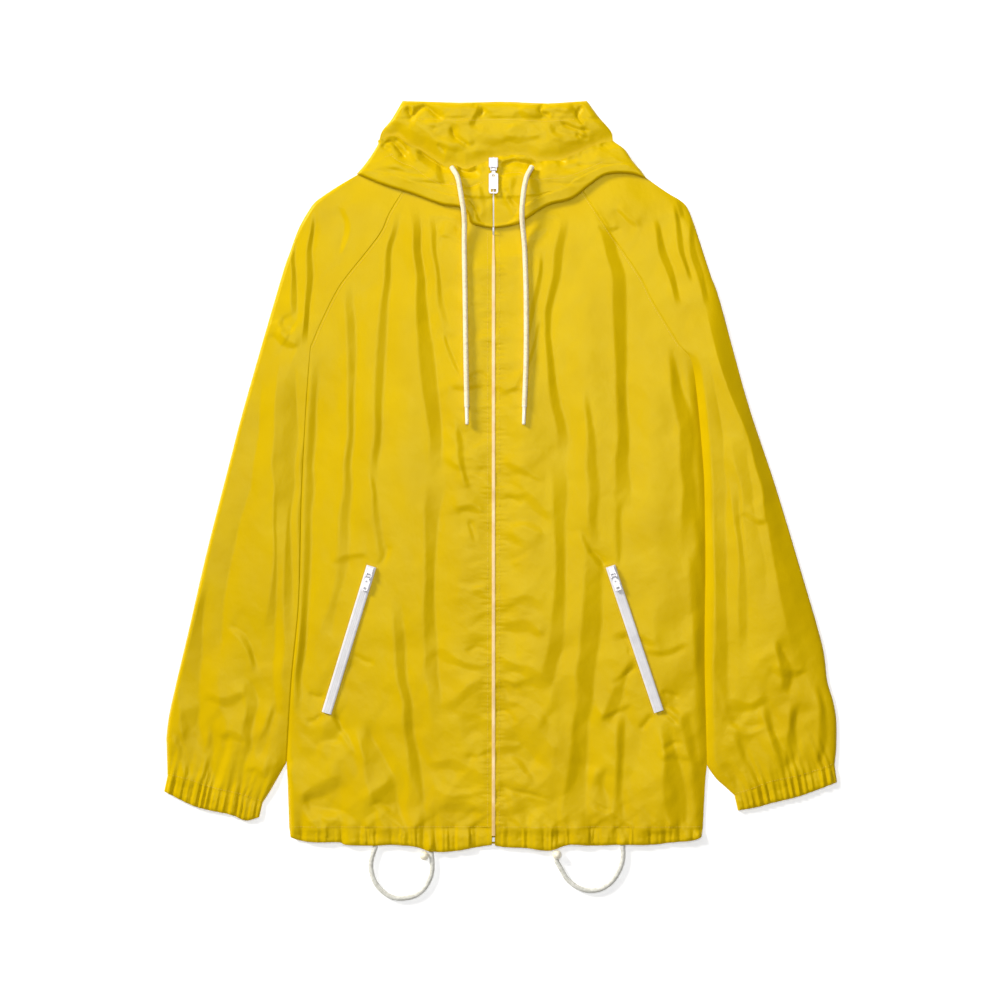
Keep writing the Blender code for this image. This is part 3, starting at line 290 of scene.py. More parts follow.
RIGHT_SLEEVE_FOLDS = (
    (2.0, 5, 8, ((-216, 322), (-220, 262), (-222, 200), (-226, 150))),
    (1.8, 7, 6, ((-238, 306), (-240, 240), (-236, 182))),
    (-1.5, 10, 6, ((-262, 176), (-250, 160), (-232, 152))),
    (1.6, 8, 6, ((-256, 190), (-250, 176), (-240, 168))),
    (3.6, 22, 28, ((-246, 150), (-249, 60), (-252, -40), (-254, -130), (-262, -210))),
    (-1.5, 12, 8, ((-250, -10), (-256, -120), (-258, -300))),
    (3.4, 26, 40, ((-284, 140), (-306, 10), (-326, -90), (-346, -190), (-352, -250))),
    (3.4, 22, 30, ((-348, -120), (-364, -200), (-364, -290), (-352, -350))),
    (2.2, 10, 16, ((-296, -240), (-290, -280), (-302, -340))),
    (1.6, 8, 6, ((-322, -180), (-300, -196), (-282, -236))),
    (1.4, 7, 9, ((-262, -268), (-272, -306), (-288, -340))),
    (-1.4, 8, 8, ((-312, -306), (-322, -345), (-332, -382))),
    (1.5, 7, 9, ((-336, -300), (-342, -336), (-346, -376))),
    (1.3, 7, 7, ((-380, -310), (-374, -336), (-364, -368))),
    (-1.4, 12, 8, ((-350, -262), (-320, -272), (-296, -258))),
    (-1.3, 10, 7, ((-330, -316), (-312, -312), (-294, -320))),
    (-1.1, 7, 5, ((-186, 326), (-176, 300), (-182, 262))),
    (-1.0, 7, 5, ((-300, -354), (-286, -352), (-272, -362))),
)
LEFT_SLEEVE_FOLDS = (
    (2.0, 7, 9, ((192, 312), (204, 266), (224, 200))),
    (1.8, 6, 6, ((217, 330), (222, 290), (236, 230))),
    (1.6, 6, 8, ((236, 316), (240, 270), (258, 200))),
    (1.5, 6, 6, ((212, 352), (222, 334), (226, 306))),
    (1.8, 14, 20, ((250, 160), (264, 60), (270, -60), (272, -170), (272, -310))),
    (1.4, 8, 10, ((284, 10), (296, -90), (298, -220))),
    (4.4, 12, 34, ((258, 220), (282, 130), (316, 40), (340, -60), (362, -150), (384, -236))),
    (1.4, 14, 20, ((290, 60), (306, -40), (318, -160))),
    (2.2, 8, 14, ((336, -196), (352, -236), (346, -262))),
    (2.4, 8, 10, ((322, -270), (336, -312), (350, -366))),
    (2.6, 9, 12, ((360, -268), (358, -312), (352, -352))),
    (1.9, 7, 9, ((386, -244), (396, -300), (386, -352))),
    (-1.5, 14, 8, ((276, -272), (306, -276), (330, -262))),
    (1.4, 9, 6, ((280, -296), (306, -304), (328, -296))),
    (-1.2, 7, 6, ((276, -340), (292, -356), (310, -380))),
    (-1.3, 10, 7, ((330, -226), (352, -236), (378, -232))),
    (1.3, 6, 8, ((290, -306), (300, -340), (316, -374))),
    (-1.0, 8, 6, ((300, -40), (316, -54), (330, -52))),
    (-1.2, 6, 5, ((146, 324), (160, 308), (174, 298))),
    (-1.0, 5, 4, ((124, 302), (138, 296), (152, 300))),
)
HOOD_FOLDS = (
    (1.2, 8, 12, ((-108, 430), (-96, 436), (-84, 426), (-58, 428))),
    (-1.5, 18, 14, ((-70, 426), (-10, 431), (70, 427))),
    (1.6, 12, 9, ((-80, 412), (-52, 400), (-40, 398))),
    (-0.9, 8, 6, ((-104, 444), (-98, 432), (-92, 420))),
    (1.5, 7, 6, ((-12, 444), (-20, 432), (-28, 416))),
    (-1.4, 9, 7, ((-66, 400), (-44, 394), (-20, 398))),
    (1.2, 8, 6, ((-30, 392), (-10, 392), (14, 390))),
    (-1.5, 8, 7, ((28, 440), (44, 428), (64, 432))),
    (1.5, 8, 7, ((66, 414), (84, 406), (110, 408))),
    (1.6, 7, 6, ((88, 446), (100, 434), (114, 424))),
    (-1.3, 8, 6, ((10, 408), (34, 402), (60, 406))),
    (1.4, 6, 5, ((104, 416), (116, 408), (128, 402))),
    (-1.2, 6, 5, ((70, 438), (86, 436), (98, 440))),
)
WING_FOLDS = (
    (2.6, 9, 12, ((-138, 394), (-112, 376), (-82, 350))),
    (2.2, 8, 9, ((-68, 372), (-58, 348), (-42, 328))),
    (2.2, 7, 8, ((-38, 356), (-27, 336), (-20, 316))),
    (2.4, 10, 12, ((56, 376), (86, 364), (116, 368))),
    (2.4, 8, 9, ((48, 372), (50, 348), (62, 328))),
    (2.4, 7, 8, ((26, 362), (23, 342), (18, 322))),
    (2.2, 9, 10, ((118, 394), (142, 380), (174, 374))),
    (-1.8, 5, 6, ((-134, 398), (-124, 392), (-116, 378))),
    (-1.8, 7, 6, ((-118, 398), (-100, 386), (-90, 372))),
    (1.5, 5, 6, ((-98, 386), (-80, 374), (-56, 362))),
    (-1.5, 8, 6, ((-152, 374), (-126, 366), (-100, 366))),
    (-1.4, 6, 7, ((-112, 352), (-86, 352), (-60, 346))),
    (1.8, 5, 6, ((-44, 366), (-30, 358), (-12, 358))),
    (-1.7, 5, 6, ((-30, 342), (-22, 326), (-26, 306))),
    (1.6, 5, 6, ((-16, 350), (-11, 326), (-14, 304))),
    (-2.0, 5, 6, ((8, 374), (22, 378), (42, 376))),
    (1.7, 5, 6, ((12, 366), (28, 362), (46, 366))),
    (-1.6, 5, 6, ((12, 344), (18, 324), (26, 304))),
    (-1.4, 6, 6, ((52, 354), (70, 350), (94, 342))),
    (1.6, 5, 8, ((60, 386), (80, 376), (106, 378))),
    (-1.6, 7, 6, ((104, 362), (130, 366), (160, 364))),
    (1.8, 6, 6, ((126, 396), (140, 388), (154, 386))),
    (1.4, 5, 5, ((-150, 366), (-140, 360), (-124, 354))),
)

# Narrow pinched valleys of the hood, its wings and the fronts: depth, half width, path.
HOOD_PINCHES = (
    (2.2, 3.5, ((-104, 446), (-97, 429), (-92, 436), (-81, 443), (-67, 433), (-57, 428))),
    (1.2, 2.6, ((-67, 398), (-62, 394), (-57, 388))),
    (1.2, 2.6, ((100, 411), (106, 406), (116, 406))),
    (1.7, 3.0, ((-51, 420), (-44, 406), (-26, 394))),
    (1.5, 3.0, ((-27, 446), (-12, 438), (-18, 428))),
    (1.5, 3.0, ((62, 446), (56, 436), (70, 430))),
    (2.4, 4.0, ((124, 403), (138, 398), (158, 391))),
    (1.6, 3.0, ((108, 446), (101, 432), (110, 420))),
    (1.3, 3.0, ((80, 424), (100, 416), (118, 414))),
    (1.5, 3.0, ((-132, 414), (-122, 409), (-112, 412), (-100, 398))),
)
WING_PINCHES = (
    (1.8, 3.0, ((-132, 396), (-122, 400), (-112, 390), (-104, 378))),
    (1.6, 3.0, ((-118, 404), (-108, 396), (-100, 386))),
    (1.7, 3.0, ((-92, 390), (-80, 382), (-66, 374), (-54, 366))),
    (2.0, 3.0, ((-7, 386), (10, 384), (24, 386), (41, 391))),
    (1.6, 3.0, ((8, 372), (24, 378), (38, 374), (52, 372))),
    (1.6, 3.0, ((-43, 370), (-30, 364), (-16, 366))),
    (1.4, 3.0, ((-40, 352), (-26, 346), (-14, 352))),
    (2.0, 3.5, ((-36, 340), (-30, 322), (-14, 318))),
    (2.0, 3.5, ((14, 346), (24, 330), (34, 320))),
    (1.5, 3.0, ((54, 374), (70, 380), (88, 376))),
    (1.3, 3.0, ((60, 352), (90, 350), (120, 354))),
    (1.3, 3.0, ((-130, 368), (-100, 362), (-70, 360))),
    (1.3, 3.0, ((-90, 352), (-64, 350), (-50, 354))),
    (1.4, 3.0, ((100, 372), (130, 374), (160, 372))),
)
FRONT_PINCHES = (
    (0.8, 2.6, ((200, -261), (210, -262), (222, -266))),
    (0.8, 2.6, ((202, -276), (212, -277), (221, -281))),
    (1.0, 2.6, ((200, -283), (210, -288), (223, -299))),
    (0.9, 2.6, ((192, -286), (185, -294), (177, -304))),
    (0.6, 2.2, ((152, -190), (160, -198), (164, -214))),
    (0.7, 2.4, ((176, -226), (160, -236), (142, -252))),
    (0.7, 2.4, ((202, -330), (214, -322), (227, -318))),
    (0.8, 2.6, ((-202, -262), (-212, -264), (-222, -260))),
    (0.9, 2.6, ((-204, -284), (-213, -292), (-224, -296))),
    (0.8, 2.6, ((-192, -286), (-184, -296), (-178, -312))),
    (0.7, 2.4, ((-168, -214), (-156, -222), (-142, -226))),
    (0.6, 2.4, ((-140, -110), (-130, -98), (-126, -82))),
    (0.6, 2.4, ((134, -108), (126, -96), (112, -88))),
    (0.6, 2.4, ((4, -243), (18, -248), (32, -260))),
    (0.6, 2.4, ((4, -276), (20, -284), (28, -298))),
    (0.7, 2.4, ((4, -364), (20, -376), (44, -382), (68, -390))),
    (0.6, 2.4, ((-4, -330), (-18, -338), (-34, -336))),
    (0.6, 2.4, ((-4, -212), (-20, -206), (-34, -212))),
    (0.6, 2.4, ((-28, -52), (-24, -66), (-22, -80))),
    (0.6, 2.4, ((-5, 118), (-18, 122), (-28, 116))),
    (0.6, 2.4, ((5, -30), (20, -26), (36, -36))),
    (0.7, 2.4, ((-48, 300), (-36, 294), (-24, 290))),
    (0.7, 2.4, ((26, 294), (38, 300), (52, 298))),
    (0.5, 2.4, ((120, -392), (136, -400), (148, -396))),
    (0.6, 2.4, ((-150, -398), (-136, -392), (-120, -402))),
)

# The underside's shallow swells, with the same columns as SWELLS.
BACK_SWELLS = (
    (0.5, 10, 14, ((-120, 260), (-128, 60), (-140, -160))),
    (0.5, 10, 14, ((-40, 200), (-34, -40), (-52, -300))),
    (0.5, 10, 14, ((52, 260), (62, 20), (50, -220))),
    (0.5, 10, 14, ((140, 200), (150, -60), (138, -340))),
    (0.4, 7, 9, ((-190, -100), (-150, -220), (-120, -380))),
    (0.4, 7, 9, ((200, 60), (180, -120), (190, -300))),
    (0.5, 9, 12, ((-250, 200), (-290, -40), (-330, -260))),
    (0.5, 9, 12, ((262, 180), (300, -60), (340, -270))),
)

# Routes of the cords, seen from above.
HOOD_CORD_LEFT = (
    (-50, 370), (-43, 357), (-38, 331), (-35, 308), (-35, 276), (-34, 218), (-33, 143), (-32, 84),
)  # fmt: skip
HOOD_CORD_RIGHT = ((46, 370), (39, 355), (35, 331), (34, 308), (37, 276), (39, 218), (39, 143), (37, 84))
HEM_LOOP_LEFT = (
    (-146, -458), (-147, -470), (-143, -485), (-134, -497), (-121, -505), (-106, -506), (-92, -502),
    (-82, -493), (-75, -479), (-73.5, -466),
)  # fmt: skip
HEM_LOOP_RIGHT = (
    (81, -471), (87, -481.5), (96, -490), (107, -495.5), (118, -497), (130, -494.5), (142, -486), (151, -472),
    (155, -458),
)  # fmt: skip
BEAD_LEFT_X = -82.9
BEAD_RIGHT_X = 76.0
HEM_MOUTHS_LEFT = (-142.0, -74.5)  # where the ends of each loop run into the hem
HEM_MOUTHS_RIGHT = (BEAD_RIGHT_X, 155.0)
MOUTH_Y = -443.0

# The axis of each pocket's zip, from its top to its bottom.
POCKET_LEFT = ((-146, -108), (-200, -284))
POCKET_RIGHT = ((140, -108), (198, -282))

# Gathers: how many on each ruched piece, how high, and how far their puckers reach into the cloth.
CUFF_GATHERS = 13
CUFF_WAVE = 1.3
HEM_GATHERS = 13
HEM_WAVE = 0.25
GATHER_REACH = 20.0
HEM_BUNCHES = (  # x, half width and depth of the pinches where the hem's cord has drawn the channel together
    (-230, 5, 1.8), (-207, 3, 0.8), (-182, 5, 1.6), (-160, 3, 0.7), (-141, 8, 2.0), (-122, 4, 1.0),
    (-102, 8, 1.7), (-84, 4, 1.2), (-70, 7, 2.0), (-46, 3, 0.7), (-21, 4, 0.9), (17, 4, 0.8), (40, 5, 1.4),
    (60, 3, 0.9),
    (77, 7, 2.4), (91, 4, 1.3), (117, 5, 1.6), (146, 3, 0.9), (168, 3, 0.7), (188, 4, 1.1), (206, 7, 2.0),
    (223, 4, 1.3), (239, 4, 1.1),
)  # fmt: skip
ZIP_PUCKER = 0.5  # the short puckers beside the front zip: height, distance from it, width and spacing
ZIP_PUCKER_AT = 8.0
ZIP_PUCKER_WIDTH = 6.5
ZIP_PUCKER_LENGTH = 5.4

# Flat faces between small sharp creases: width and height of a face, how high its corners stand, seed.
ZIP_CREASES = ((46, 22, 1.3, 6.2), (20, 10, 0.45, 2.7))
BODY_CREASES = ((44, 60, 1.9, 9.1), (21, 27, 0.6, 5.3))
HOOD_CREASES = ((46, 26, 1.1, 1.3), (15, 9, 0.4, 5.9))
WING_CREASES = ((42, 24, 1.6, 2.2), (14, 9, 0.5, 8.4))

# Sewing.
STITCH_PITCH = 3.3
STITCH_LENGTH = 2.5
STITCH_RADIUS = 0.24
STITCH_ABOVE = 0.06  # the middle of a stitch over the cloth
ZIP_STITCH_AT = 7.0  # from the zip's middle, and from the other seams
SEAM_STITCH_AT = 2.2
CASING = 22.0  # width of the cord channels round the hood's opening

# Lights: name, place and (width, length) in metres, power in watts, colour.
LIGHTS = (
    ("key", (-5.2, 3.9, 3.1), (1.6, 1.6), 578, "FFFBF4"),
    ("overhead", (-0.03, 0.32, 3.0), (1.0, 1.5), 44, "FFFFFF"),
    ("hood", (0.0, 0.7, 0.7), (0.4, 0.4), 1.5, "FFFFFF"),
    ("hem", (-0.2, -0.8, 0.8), (0.5, 0.4), 0.8, "FFFFFF"),
)
SKY = 0.1  # strength of the even white surroundings
FLOOR_HALF = 3.0  # half the floor's width in metres


# --- lines ---------------------------------------------------------------------------------------


def at(line, shares):
    """Points at these shares of a line's length."""
    line = np.asarray(line, float)
    along = np.concatenate([[0], np.cumsum(np.linalg.norm(np.diff(line, axis=0), axis=1))])
    return np.stack([np.interp(np.asarray(shares) * along[-1], along, column) for column in line.T], axis=1)


def smooth(points, count):
    """A curve through the points, as count + 1 evenly spaced points."""
    points = np.asarray(points, float)
    ends = np.vstack([2 * points[0] - points[1], points, 2 * points[-1] - points[-2]])
    curve = []
    for before, start, stop, after in zip(ends, ends[1:], ends[2:], ends[3:]):
        for t in np.linspace(0, 1, 8, endpoint=False):
            bend = 2 * before - 5 * start + 4 * stop - after
            turn = 3 * start - before - 3 * stop + after
            curve.append(start + 0.5 * t * (stop - before + t * (bend + t * turn)))
    return at(np.vstack([curve, points[-1:]]), np.linspace(0, 1, count + 1))


def length_of(line):
    """The length of a line of points."""
    return np.linalg.norm(np.diff(np.asarray(line, float), axis=0), axis=1).sum()


def shift(line, distance):
    """The line moved to its left, as seen along it."""
    along = np.gradient(line, axis=0)
    along /= np.linalg.norm(along, axis=1)[:, None]
    return line + distance * np.stack([-along[:, 1], along[:, 0]], axis=1)


def join(*lines):
    """Lines that meet end to end, as one."""
    return np.vstack([lines[0]] + [line[1:] for line in lines[1:]])


def nearest(points, line):
    """For each (x, y): its distance to the line, on which side it is, and where along the line."""
    line = np.asarray(line, float)
    best = np.full(len(points), np.inf)
    side = np.zeros(len(points))
    along = np.zeros(len(points))
    passed = 0.0
    for start, stop in zip(line, line[1:]):
        run = stop - start
        length = math.hypot(*run)
        away = points - start
        t = np.clip(away @ run / length**2, 0, 1)
        distance = np.linalg.norm(away - t[:, None] * run, axis=1)
        closer = distance < best
        best = np.where(closer, distance, best)
        side = np.where(closer, run[0] * away[:, 1] - run[1] * away[:, 0], side)
        along = np.where(closer, passed + t * length, along)
        passed += length
    return best, side, along


def distance_to(points, line):
    """How far each (x, y) is from a line."""
    return nearest(points, line)[0]


def bell(distance, width):
    """1 at no distance, and dying away over this width."""
    return np.exp(-((distance / width) ** 2))


# --- heights -------------------------------------------------------------------------------------


def beside(points, path, reach):
    """The points within reach of a smooth path: which, how far, on which side and at what share of it."""
    path = smooth(path, 12)
    x, y = points.T
    # The cloth wanders by about 1 mm, so that no fold runs as true as its path.
    wander = [np.sin(y / 19 + 2.3 * np.sin(y / 43)), np.sin(x / 17 + 1.9 * np.sin(x / 37))]
    points = points + 1.1 * np.stack(wander, axis=1)
    near = np.all((points > path.min(axis=0) - reach) & (points < path.max(axis=0) + reach), axis=1)
    distance, side, along = nearest(points[near], path)
    return near, distance, side, along / length_of(path)


def faded(share):
    """How strong a fold is along its path: it dies away at both ends."""
    t = np.clip(np.minimum(share, 1 - share) / FADE, 0, 1)
    return t**2 * (3 - 2 * t)


def swell_height(points, rows):
    """The sum of the soft swells at each point."""
    total = np.zeros(len(points))
    for height, first, other, path in rows:
        near, distance, side, share = beside(points, path, 2.6 * max(first, other))
        width = np.where(side > 0, other, first)
        total[near] += height * faded(share) * bell(distance, width)
    return total


def pinch_height(points, rows):
    """The sum of the pinched valleys at each point, as heights below zero."""
    total = np.zeros(len(points))
    for depth, half, path in rows:
        half = PINCH_WIDTH * half
        near, distance, _, share = beside(points, path, 8 * half)
        total[near] -= PINCH_STRENGTH * depth * faded(share) * np.exp(-distance / half)
    return total


def fold_height(points, rows):
    """The sum of the folds at each point: a straight slope of wandering width between two creases."""
    total = np.zeros(len(points))
    for drop, start, stop, path in rows:
        near, distance, side, share = beside(points, path, 4.0 * max(start, stop) + 30)
        half = (start + (stop - start) * share) * (0.5 + 0.11 * np.sin(9 * share + path[0][0]))
        way_back = RETURN * half + RETURN_LEAST
        slope = np.where(distance < half, distance / half, np.exp(-(distance - half) / way_back))
        total[near] -= 0.5 * FOLD_STRENGTH * drop * faded(share) * np.sign(side) * slope
    return total


def crumple(points, size, depth, seed):
    """Small uneven dents of a soft cloth."""
    return depth * np.array([noise.noise(Vector((x / size, y / size, seed))) for x, y in points])


def facets(points, wide, high, depth, seed):
    """Flat faces between sharp creases, as in crisp cloth: triangles between corners of uneven height."""
    x, y = points[:, 0] / wide, points[:, 1] / high
    x, y = (
        x + 0.34 * np.sin(1.9 * y + seed) + 0.21 * np.sin(3.7 * y + 1.3 * x),
        y + 0.34 * np.sin(2.1 * x + 2 * seed) + 0.21 * np.sin(3.3 * x - 1.1 * y),
    )
    lean = 0.366 * (x + y)
    x, y = x + lean, y + lean
    column, row = np.floor(x), np.floor(y)
    x, y = x - column, y - row

    def corner(right, up):
        value = np.sin((column + right) * 12.9898 + (row + up) * 78.233 + seed) * 43758.5453
        return 2 * (value - np.floor(value)) - 1

    over = (x > y).astype(float)
    high_share, low_share = np.maximum(x, y), np.minimum(x, y)
    between = corner(over, 1 - over)
    height = (1 - high_share) * corner(0, 0) + (high_share - low_share) * between + low_share * corner(1, 1)
    return depth * height


def creases(points, rows):
    """The sum of a table's facets."""
    return sum(facets(points, *row) for row in rows)


def rounded(distance, roll):
    """How far a rounded edge has risen: 0 at the edge, 1 once the roll is passed."""
    t = np.clip(distance / roll, 0, 1)
    return np.sqrt(1 - (1 - t) ** 2)


def seam_dip(points):
    """The shallow valley of each sewn seam."""
    total = np.zeros(len(points))
    for line in SEWN_SEAMS:
        total -= SEAM_DIP * bell(distance_to(points, smooth(line, 24)), SEAM_DIP_WIDTH)
    return total


def uneven_wave(share, count, seed):
    """Gathers along a channel: a wave whose spacing and height wander."""
    wander = 0.018 * np.sin(2 * math.pi * (2.3 * share + seed))
    wander += 0.009 * np.sin(2 * math.pi * (5.1 * share - seed))
    phase = 2 * math.pi * count * (share + wander)
    height = 0.75 + 0.35 * np.sin(2 * math.pi * (3.1 * share + 0.7 * seed))
    return height * np.cos(phase) + 0.28 * np.cos(2.37 * phase + seed)


def bunches(x, above, strength):
    """The pinches of the hem's channel, which fan out and die away in the cloth above it."""
    total = np.zeros(len(x))
    for middle, half, depth in HEM_BUNCHES:
        near = np.abs(x - middle) / (half + 0.22 * above)
        total += strength * depth * np.exp(-above / (10 + 2 * half)) * (0.4 - np.exp(-near)) * (near < 6)
    return total


def puckers(points):
    """The short puckers beside the zip, above the hem and above the cuffs."""
    x, y = points.T
    by_zip = bell(np.abs(x) - ZIP_PUCKER_AT, ZIP_PUCKER_WIDTH) * np.clip(np.abs(x) / 4, 0, 1)
    turn = 2 * math.pi * y / ZIP_PUCKER_LENGTH
    total = ZIP_PUCKER * by_zip * np.sin(turn + 2.1 * np.sin(y / 17 + np.sign(x)) + 0.8 * np.sin(y / 5.3))
    total += bunches(x, np.clip(y - HEM_SEAM, 0, None), 1.5)
    for wrist, seed in ((WRIST_LEFT, 0.1), (WRIST_RIGHT, 0.6)):
        distance, _, along = nearest(points, wrist)
        wave = uneven_wave(along / length_of(wrist), CUFF_GATHERS, seed)
        total += CUFF_WAVE * 0.9 * np.exp(-distance / GATHER_REACH) * wave
    return total


def small_creases(points):
    """The sharp small creases: across the cloth by the zip, and all over, deeper above the hem and cuffs."""
    x, y = points.T
    by_zip = bell(x, 46) * (y < 290)
    low = np.clip((-150 - y) / 170, 0, 1)
    return by_zip * creases(points, ZIP_CREASES) + (0.3 + 0.7 * low) * creases(points, BODY_CREASES)


def front_height(points, folds, side_roll):
    """The top of a front or of a sleeve's upper half, rounded down to the under layer at its edges."""
    rise = np.ones(len(points))
    for line, roll in OUTER_EDGES:
        rise *= rounded(distance_to(points, smooth(line, 60)), roll)
    below_arm = np.clip((ARMPIT - points[:, 1]) / SEAM_FADE, 0, 1)
    for line, held in SIDE_EDGES:
        passed = np.clip(distance_to(points, smooth(line, 60)) / side_roll, 0, 1)
        above_hem = held * np.clip((points[:, 1] - CLOSED_FROM) / SEAM_FADE, 0, 1)
        rise *= 1 - below_arm * (1 - above_hem) * (1 - np.sin(math.pi / 2 * passed))
    for line in NECK_EDGES:
        rise *= 1 - bell(distance_to(points, line), NECK_ROLL)
    fine = small_creases(points) + crumple(points, 15, 0.16, 7.7) + seam_dip(points) + puckers(points)
    fine += pinch_height(points, FRONT_PINCHES)
    top = LOFT - CLOSE + swell_height(points, SWELLS) + fold_height(points, folds) + fine
    return CLOSE + rise * np.maximum(top, LEAST_LOFT)


def hood_height(points):
    """The inside of the hood's middle panel: flat under the wings, puffed between face edge and crown."""
    face = np.array(FACE_LEFT + FACE_RIGHT, float)
    above = points[:, 1] > np.interp(points[:, 0], face[:, 0], face[:, 1])
    rise = np.where(above, 1 - bell(distance_to(points, face), FACE_RISE), 0.0)
    for line in (CROWN, TEMPLE_LEFT, TEMPLE_RIGHT):
        rise *= rounded(distance_to(points, line), HOOD_ROLL)
    folds = fold_height(points, HOOD_FOLDS) + pinch_height(points, HOOD_PINCHES)
    folds += creases(points, HOOD_CREASES)
    casing = -0.7 * bell(CROWN[0][1] - CASING - points[:, 1], 1.6)
    return UNDER + rise * np.maximum(0.2, HOOD_LOFT + folds + casing)


def wing_height(points, lowest, face, fold, outside):
    """The top of a wing: rolled over its lower fold, sagging to its face edge, dipped at the chin."""
    edge = np.minimum(distance_to(points, fold), distance_to(points, outside))
    from_face = distance_to(points, face)
    climb = 1 - bell(from_face, SAG)
    chin = 1 - CHIN_DIP * bell(points[:, 0], CHIN_WIDTH)
    fine = creases(points, WING_CREASES) + pinch_height(points, WING_PINCHES)
    fine -= 0.4 * bell(from_face - CASING, 1.4)
    gathers = 0.2 * np.sin(points[:, 0] / 1.7 + 2 * np.sin(points[:, 0] / 9))
    fine += bell(from_face, RUCHED_WIDTH) * (facets(points, 9, 14, 0.8, 3.6) + gathers)
    for mouth in (HOOD_CORD_LEFT[0], HOOD_CORD_RIGHT[0]):
        fine -= MOUTH_DIP * bell(np.linalg.norm(points - mouth, axis=1), MOUTH_WIDTH)
    middle = -CENTRE_DIP * bell(points[:, 0], CENTRE_WIDTH)
    crest = WING_RIM + (WING_CREST - WING_RIM) * climb * chin
    crest = crest + fold_height(points, WING_FOLDS) + fine + middle
    body = np.maximum(0, crest - lowest)
    thin = np.minimum(body, WING_EDGE)
    return lowest + rounded(edge, WING_ROLL) * (thin + (body - thin) * (1 - np.exp(-edge / WING_CLIMB)))


def back_height(points):
    """The underside of the under layer, which lies on the floor but for its shallow creases."""
    return FLOOR_GAP + np.clip(swell_height(points, BACK_SWELLS) + crumple(points, 30, 0.2, 4.4), 0, 0.6)


# --- meshes --------------------------------------------------------------------------------------


def add_piece(name, mesh, material):
    """Put a mesh in the scene as a piece that rides on the jacket."""
    mesh.materials.append(material)
    mesh.shade_smooth()
    made = bpy.data.objects.new(name, mesh)
    bpy.context.scene.collection.objects.link(made)
    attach(made, BODY)
    return made


def mesh_of(name, points, faces):
    """A mesh from points in millimetres."""
    mesh = bpy.data.meshes.new(name)
    mesh.from_pydata((np.asarray(points) * MM).tolist(), [], [tuple(face) for face in faces])
    return mesh


def grid_faces(rows, columns, around=False):
    """The quads of rows by columns cells, each row of points from left to right, or round a tube."""
    wide = columns if around else columns + 1
    row, column = (part.ravel() for part in np.mgrid[0:rows, 0:columns])
    upper, lower, following = row * wide, (row + 1) * wide, (column + 1) % wide
    return np.stack([upper + column, lower + column, lower + following, upper + following], 1)


def capped_tube(rows, sides):
    """The faces of a tube of rows by sides cells, seen from outside and closed at both ends."""
    last = rows * sides
    faces = [tuple(face[::-1]) for face in grid_faces(rows, sides, around=True)]
    return faces + [tuple(range(sides)), tuple(range(last + sides - 1, last - 1, -1))]


def patch(top, bottom, left, right, across, down):
    """Points spread between four edges at the shares across and down, row by row from the top."""
    u, v = across[None, :, None], down[:, None, None]
    rows = (1 - v) * at(top, across)[None] + v * at(bottom, across)[None]
    sides = (1 - u) * at(left, down)[:, None] + u * at(right, down)[:, None]
    upper = (1 - u) * top[0] + u * top[-1]
    lower = (1 - u) * bottom[0] + u * bottom[-1]
    return (rows + sides - (1 - v) * upper - v * lower).reshape(-1, 2)


def thicken(piece, wall):
    """Give an open surface its wall, on the side away from its normals, with sharp rims."""
    mesh = piece.data
    used = np.empty(len(mesh.loops), int)
    mesh.loops.foreach_get("edge_index", used)
    mesh.edges.foreach_set("use_edge_sharp", np.bincount(used, minlength=len(mesh.edges)) == 1)
    step = piece.modifiers.new("wall", "SOLIDIFY")
    step.thickness = wall * MM
    step.offset = -1
    return piece


def cells(line, size):
    """Shares from 0 to 1 that cut a line into cells of about this size."""
    return np.linspace(0, 1, max(2, round(length_of(line) / size)) + 1)


def cloth(name, flat, heights, columns, down=False):
    """A shell of cloth from a grid of points, seen from above or, with down, from below."""
    rows = len(flat) // (columns + 1) - 1
    faces = grid_faces(rows, columns)
    mesh = mesh_of(name, np.column_stack([flat, heights]), faces[:, ::-1] if down else faces)
    return thicken(add_piece(name, mesh, NYLON), WALL)


def tube_of_cloth(name, upper, under, down):
    """A tube laid flat, from an upper and an under grid of (x, y, z) rows that share their side edges."""
    rows = len(down) - 1
    upper = upper.reshape(rows + 1, -1, 3)
    under = under.reshape(rows + 1, -1, 3)
    points = np.concatenate([upper, under[:, ::-1]], axis=1)
    faces = grid_faces(rows, points.shape[1], around=True)
    mesh = mesh_of(name, points.reshape(-1, 3), faces)
    return thicken(add_piece(name, mesh, NYLON), WALL)


def ground(*pieces):
    """A function that gives the highest point of these open surfaces at (x, y), or the floor."""
    trees = []
    for piece in pieces:
        points = [tuple(vertex.co / MM) for vertex in piece.data.vertices]
        trees.append(BVHTree.FromPolygons(points, [tuple(face.vertices) for face in piece.data.polygons]))

    def height(x, y, reach=0.0):
        around = [(0.0, 0.0)]
        if reach:
            turns = np.arange(0, 2 * math.pi, math.pi / 4)
            around += [(reach * math.cos(a), reach * math.sin(a)) for a in turns]
        best = 0.0
        for dx, dy in around:
            for tree in trees:
                hit = tree.ray_cast(Vector((x + dx, y + dy, 500)), Vector((0, 0, -1)))[0]
                best = best if hit is None else max(best, hit.z)
        return best

    return height


# --- materials -----------------------------------------------------------------------------------


def to_linear(text):
    """A colour written as sRGB hex, as linear red, green, blue and alpha."""
    values = [int(text[i : i + 2], 16) / 255 for i in (0, 2, 4)]
    return (*(v / 12.92 if v <= 0.04045 else ((v + 0.055) / 1.055) ** 2.4 for v in values), 1.0)


def add_node(tree, kind, sockets=None, **settings):
    """Add a node, set its properties, and set or link its inputs."""
    node = tree.nodes.new(f"ShaderNode{kind}")
    for key, value in settings.items():
        setattr(node, key, value)
    for key, value in (sockets or {}).items():
        if isinstance(value, bpy.types.NodeSocket):
            tree.links.new(value, node.inputs[key])
        else:
            node.inputs[key].default_value = value
    return node


